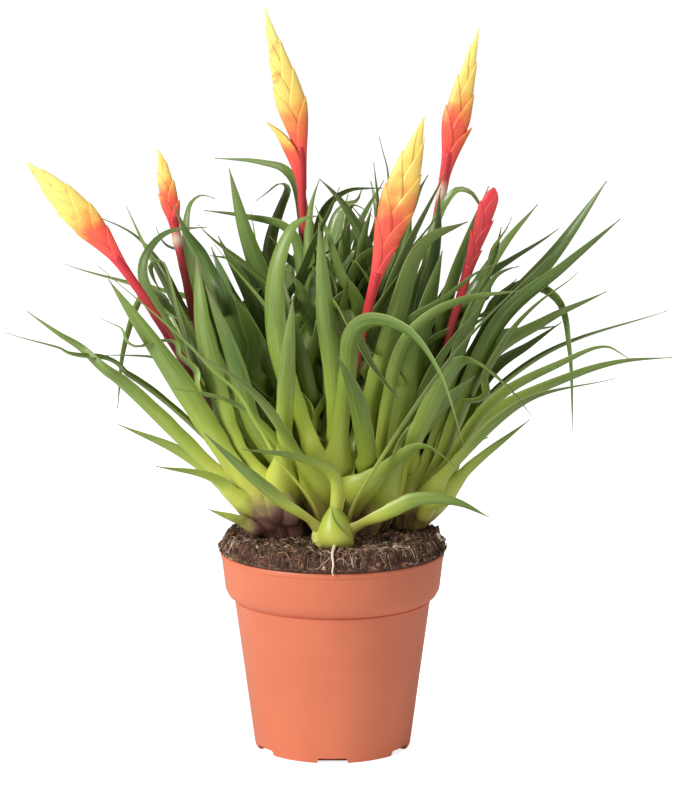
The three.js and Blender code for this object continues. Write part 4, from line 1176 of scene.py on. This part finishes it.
# The closed bud that fills the head between its bracts, a lens in section.
def budRings(spike):
    shape = spikeShape
    head = np.linspace(shape["budFrom"], 1, shape["budRows"])[None]
    point, side, face = headFrames(spike, head)
    wide = np.maximum(headHalfWidth(spike, head) * shape["bud"], shape["leastBud"])[..., None, None]
    angle = turnsRound(shape["budSides"])[:, None]
    across = side[:, :, None] * np.cos(angle) + face[:, :, None] * np.sin(angle) * shape["flatness"]
    return point[:, :, None] + wide * across, {
        "ripe": ripeness(spike, head)[..., None], "along": head[..., None], "across": np.zeros(1),
        "tint": np.full(1, 0.5),
    }


# The scape: a tube with a slight swelling under each node, which ends inside the head.
def scapeRings(spike):
    shape, dense = spikeShape, denseLine(spike)
    share = np.linspace(0, blend(spike["head"], 1, shape["scapeEnd"]), shape["scapeRows"])[None]
    lines = readAt(dense, share * shape["steps"])
    length = np.sum(np.linalg.norm(np.diff(dense, axis=0), axis=1))
    node = (share * length / shape["nodes"]) % 1
    ring = spike["ring"] * smooth(shape["ringReach"], 0.0, np.abs(share - spike["head"]))
    radius = shape["scapeRadius"] * (1 + shape["nodeSwell"] * node ** 3) + ring * shape["ringSwell"]
    rings = tubeRings(lines, radius, shape["scapeSides"], np.array([[1.0, 0, 0]]))
    return rings, {"along": (share / spike["head"])[..., None], "ring": ring[..., None]}


bractLook = {
    "ripening": [
        (0.0, (128, 40, 42)), (0.12, (206, 46, 60)), (0.3, (240, 62, 72)), (0.45, (246, 92, 62)),
        (0.5, (248, 146, 70)), (0.56, (251, 208, 98)), (0.7, (250, 230, 122)), (1.0, (238, 240, 152)),
    ],
    "drift": (95.0, 0.18), "veinStride": 2.0,
    "smudge": (226, 124, 52), "smudges": (120.0, 2.0), "smudgeLimits": (0.58, 0.72, 0.0, 0.55),
    "smudgeRipe": (0.5, 0.62), "vein": (252, 190, 150), "veinLimits": (0.45, 0.75, 0.0, 0.14),
    "margin": (252, 214, 130), "marginFrom": 0.94, "marginMost": 0.06,
    "roughness": (0.2, 0.8, 0.38, 0.5), "coat": 0.1, "coatRoughness": 0.3, "bump": (0.2, 0.0004),
}


def bractMaterial():
    material, wires = newMaterial("bract")
    look, place = bractLook, wires.objectPlace()
    ripe = drifted(wires, wires.value("ripe"), place, *look["drift"])
    smudge = wires.range(wires.noise(place, *look["smudges"]), *look["smudgeLimits"])
    smudge = wires.times(smudge, wires.range(ripe, *look["smudgeRipe"]))
    shade = wires.mix(smudge, wires.ramp(ripe, look["ripening"]), look["smudge"])
    shade, vein = veined(wires, shade, wires.value("along"), look)
    return finished(
        material, Base_Color=shade, Roughness=wires.range(vein, *look["roughness"]),
        Coat_Weight=look["coat"], Coat_Roughness=look["coatRoughness"],
        Normal=wires.bump(vein, *look["bump"]),
    )


scapeLook = {
    "rising": [
        (0.0, (168, 160, 92)), (0.4, (150, 104, 66)), (0.62, (160, 74, 60)), (0.85, (176, 54, 54)),
        (1.0, (206, 50, 56)),
    ],
    "drift": (120.0, 0.24), "collar": (236, 206, 180), "streaks": 160.0, "roughness": 0.45,
    "bump": (0.25, 0.0005),
}


def scapeMaterial():
    material, wires = newMaterial("scape")
    look, place = scapeLook, wires.objectPlace()
    shade = wires.ramp(drifted(wires, wires.value("along"), place, *look["drift"]), look["rising"])
    return finished(
        material, Base_Color=wires.mix(wires.value("ring"), shade, look["collar"]),
        Roughness=look["roughness"], Normal=wires.bump(wires.noise(place, look["streaks"]), *look["bump"]),
    )


# Stage, light and camera

studio = {
    "floor": 4000, "paper": [(250, 250, 250), (252, 252, 252)], "paperRoughness": 0.9,
    "cloud": (2.0, 2.0), "cloudLimits": (0.3, 0.7), "floorGlow": 0.8, "ambient": 0.24, "aim": (0, 0, 0.2),
    "lamps": {  # place in metres, width and power of each
        "key": ((-1.75, -1.3, 1.15), 1.1, 56),
        "fill": ((1.7, -1.3, 0.6), 1.3, 5),
        "top": ((0.1, -0.3, 2.2), 1.4, 14),
    },
}
# The lens and the picture's height in pixels, the place in metres and degrees below level.
view = {"lensPixels": 3240, "heightPixels": 788, "sensor": 36, "place": (0.004, -1.7, 0.481), "down": 9.66}


def makeStage():
    material, wires = newMaterial("paper_floor")
    cloud = wires.range(wires.noise(wires.objectPlace(), *studio["cloud"]), *studio["cloudLimits"])
    shade = wires.mix(cloud, *studio["paper"])
    seen = wires.add("ShaderNodeLightPath", {}, output="Is Camera Ray")
    finished(
        material, Base_Color=shade, Roughness=studio["paperRoughness"], Emission_Color=shade,
        Emission_Strength=wires.times(seen, studio["floorGlow"]),
    )
    corners = np.array([[-1, -1, 0], [1, -1, 0], [1, 1, 0], [-1, 1, 0]]) * studio["floor"]
    meshObject("floor", corners, np.array([[0, 1, 2, 3]]), {}, material)


# White where the camera sees it, and softer as a light.
def makeWorld():
    world = bpy.data.worlds.new("studio")
    world.use_nodes = True
    wires = Wiring(world.node_tree)
    seen = wires.add("ShaderNodeLightPath", {}, output="Is Camera Ray")
    background = world.node_tree.nodes["Background"]
    background.inputs["Color"].default_value = (1, 1, 1, 1)
    wires.plug(background.inputs["Strength"], wires.math("MAXIMUM", seen, studio["ambient"]))
    bpy.context.scene.world = world


def makeLamps():
    for name, (place, width, power) in studio["lamps"].items():
        lamp = bpy.data.lights.new(name, "AREA")
        lamp.shape, lamp.size, lamp.energy = "DISK", width, power
        light = linked(bpy.data.objects.new(name, lamp))
        light.location = place
        light.rotation_euler = (Vector(studio["aim"]) - Vector(place)).to_track_quat("-Z", "Y").to_euler()


def makeCamera():
    lens = bpy.data.cameras.new("camera")
    lens.sensor_fit, lens.sensor_height = "VERTICAL", view["sensor"]
    lens.lens = view["lensPixels"] / view["heightPixels"] * lens.sensor_height
    camera = linked(bpy.data.objects.new("camera", lens))
    camera.location = view["place"]
    camera.rotation_euler = (math.radians(90 - view["down"]), 0, 0)
    bpy.context.scene.camera = camera


makeCamera()
makeWorld()
makeLamps()
makeStage()
bpy.context.scene.view_settings.view_transform = "Standard"
print("studio set")

dress(potPiece(potMaterial()), "pot", "pot")
print("pot made")
dress(soilPiece(soilMaterial()), "soil", "soil")
fibre = fibreMaterial()
for piece in (fibrePiece(fibre), crumbPiece(fibre), rootPiece(fibre)):
    dress(piece, "soil")
print("soil made")

for number, rosette in enumerate(rosettes.values()):
    height = float(soilHeight(math.hypot(rosette["x"], rosette["y"])))
    rosette["foot"] = np.array([rosette["x"], rosette["y"], height])
    rosette["axis"] = unit(np.array([*rosette["lean"], 1.0]))
    rosette["heading"] = number * rosetteTurn
leaves, spikeLines = makeLeaves(), makeSpikeLines()
bendApart(leaves, spikeLines)
innerLeaves = makeInnerLeaves()
bendApart(innerLeaves, leaves + spikeLines)
print("leaves laid", len(leaves), "and inner", len(innerLeaves))
leafSkin = leafMaterial()
for name in rosettes:
    dress(rosettePiece(name, leaves + innerLeaves, leafSkin), "leaves", f"rosette_{name}")
dress(pupPiece(leafSkin), "leaves")
print("rosettes made")

bractSkin, scapeSkin = bractMaterial(), scapeMaterial()
for spike in spikeLines:
    name = spike["name"]
    dress(lofted(f"bracts_{name}", *bractRings(spike), bractSkin), "bracts", f"spike_{name}")
    dress(lofted(f"bud_{name}", *budRings(spike), bractSkin), "bracts")
    dress(lofted(f"scape_{name}", *scapeRings(spike), scapeSkin), "bracts")
print("spikes made")
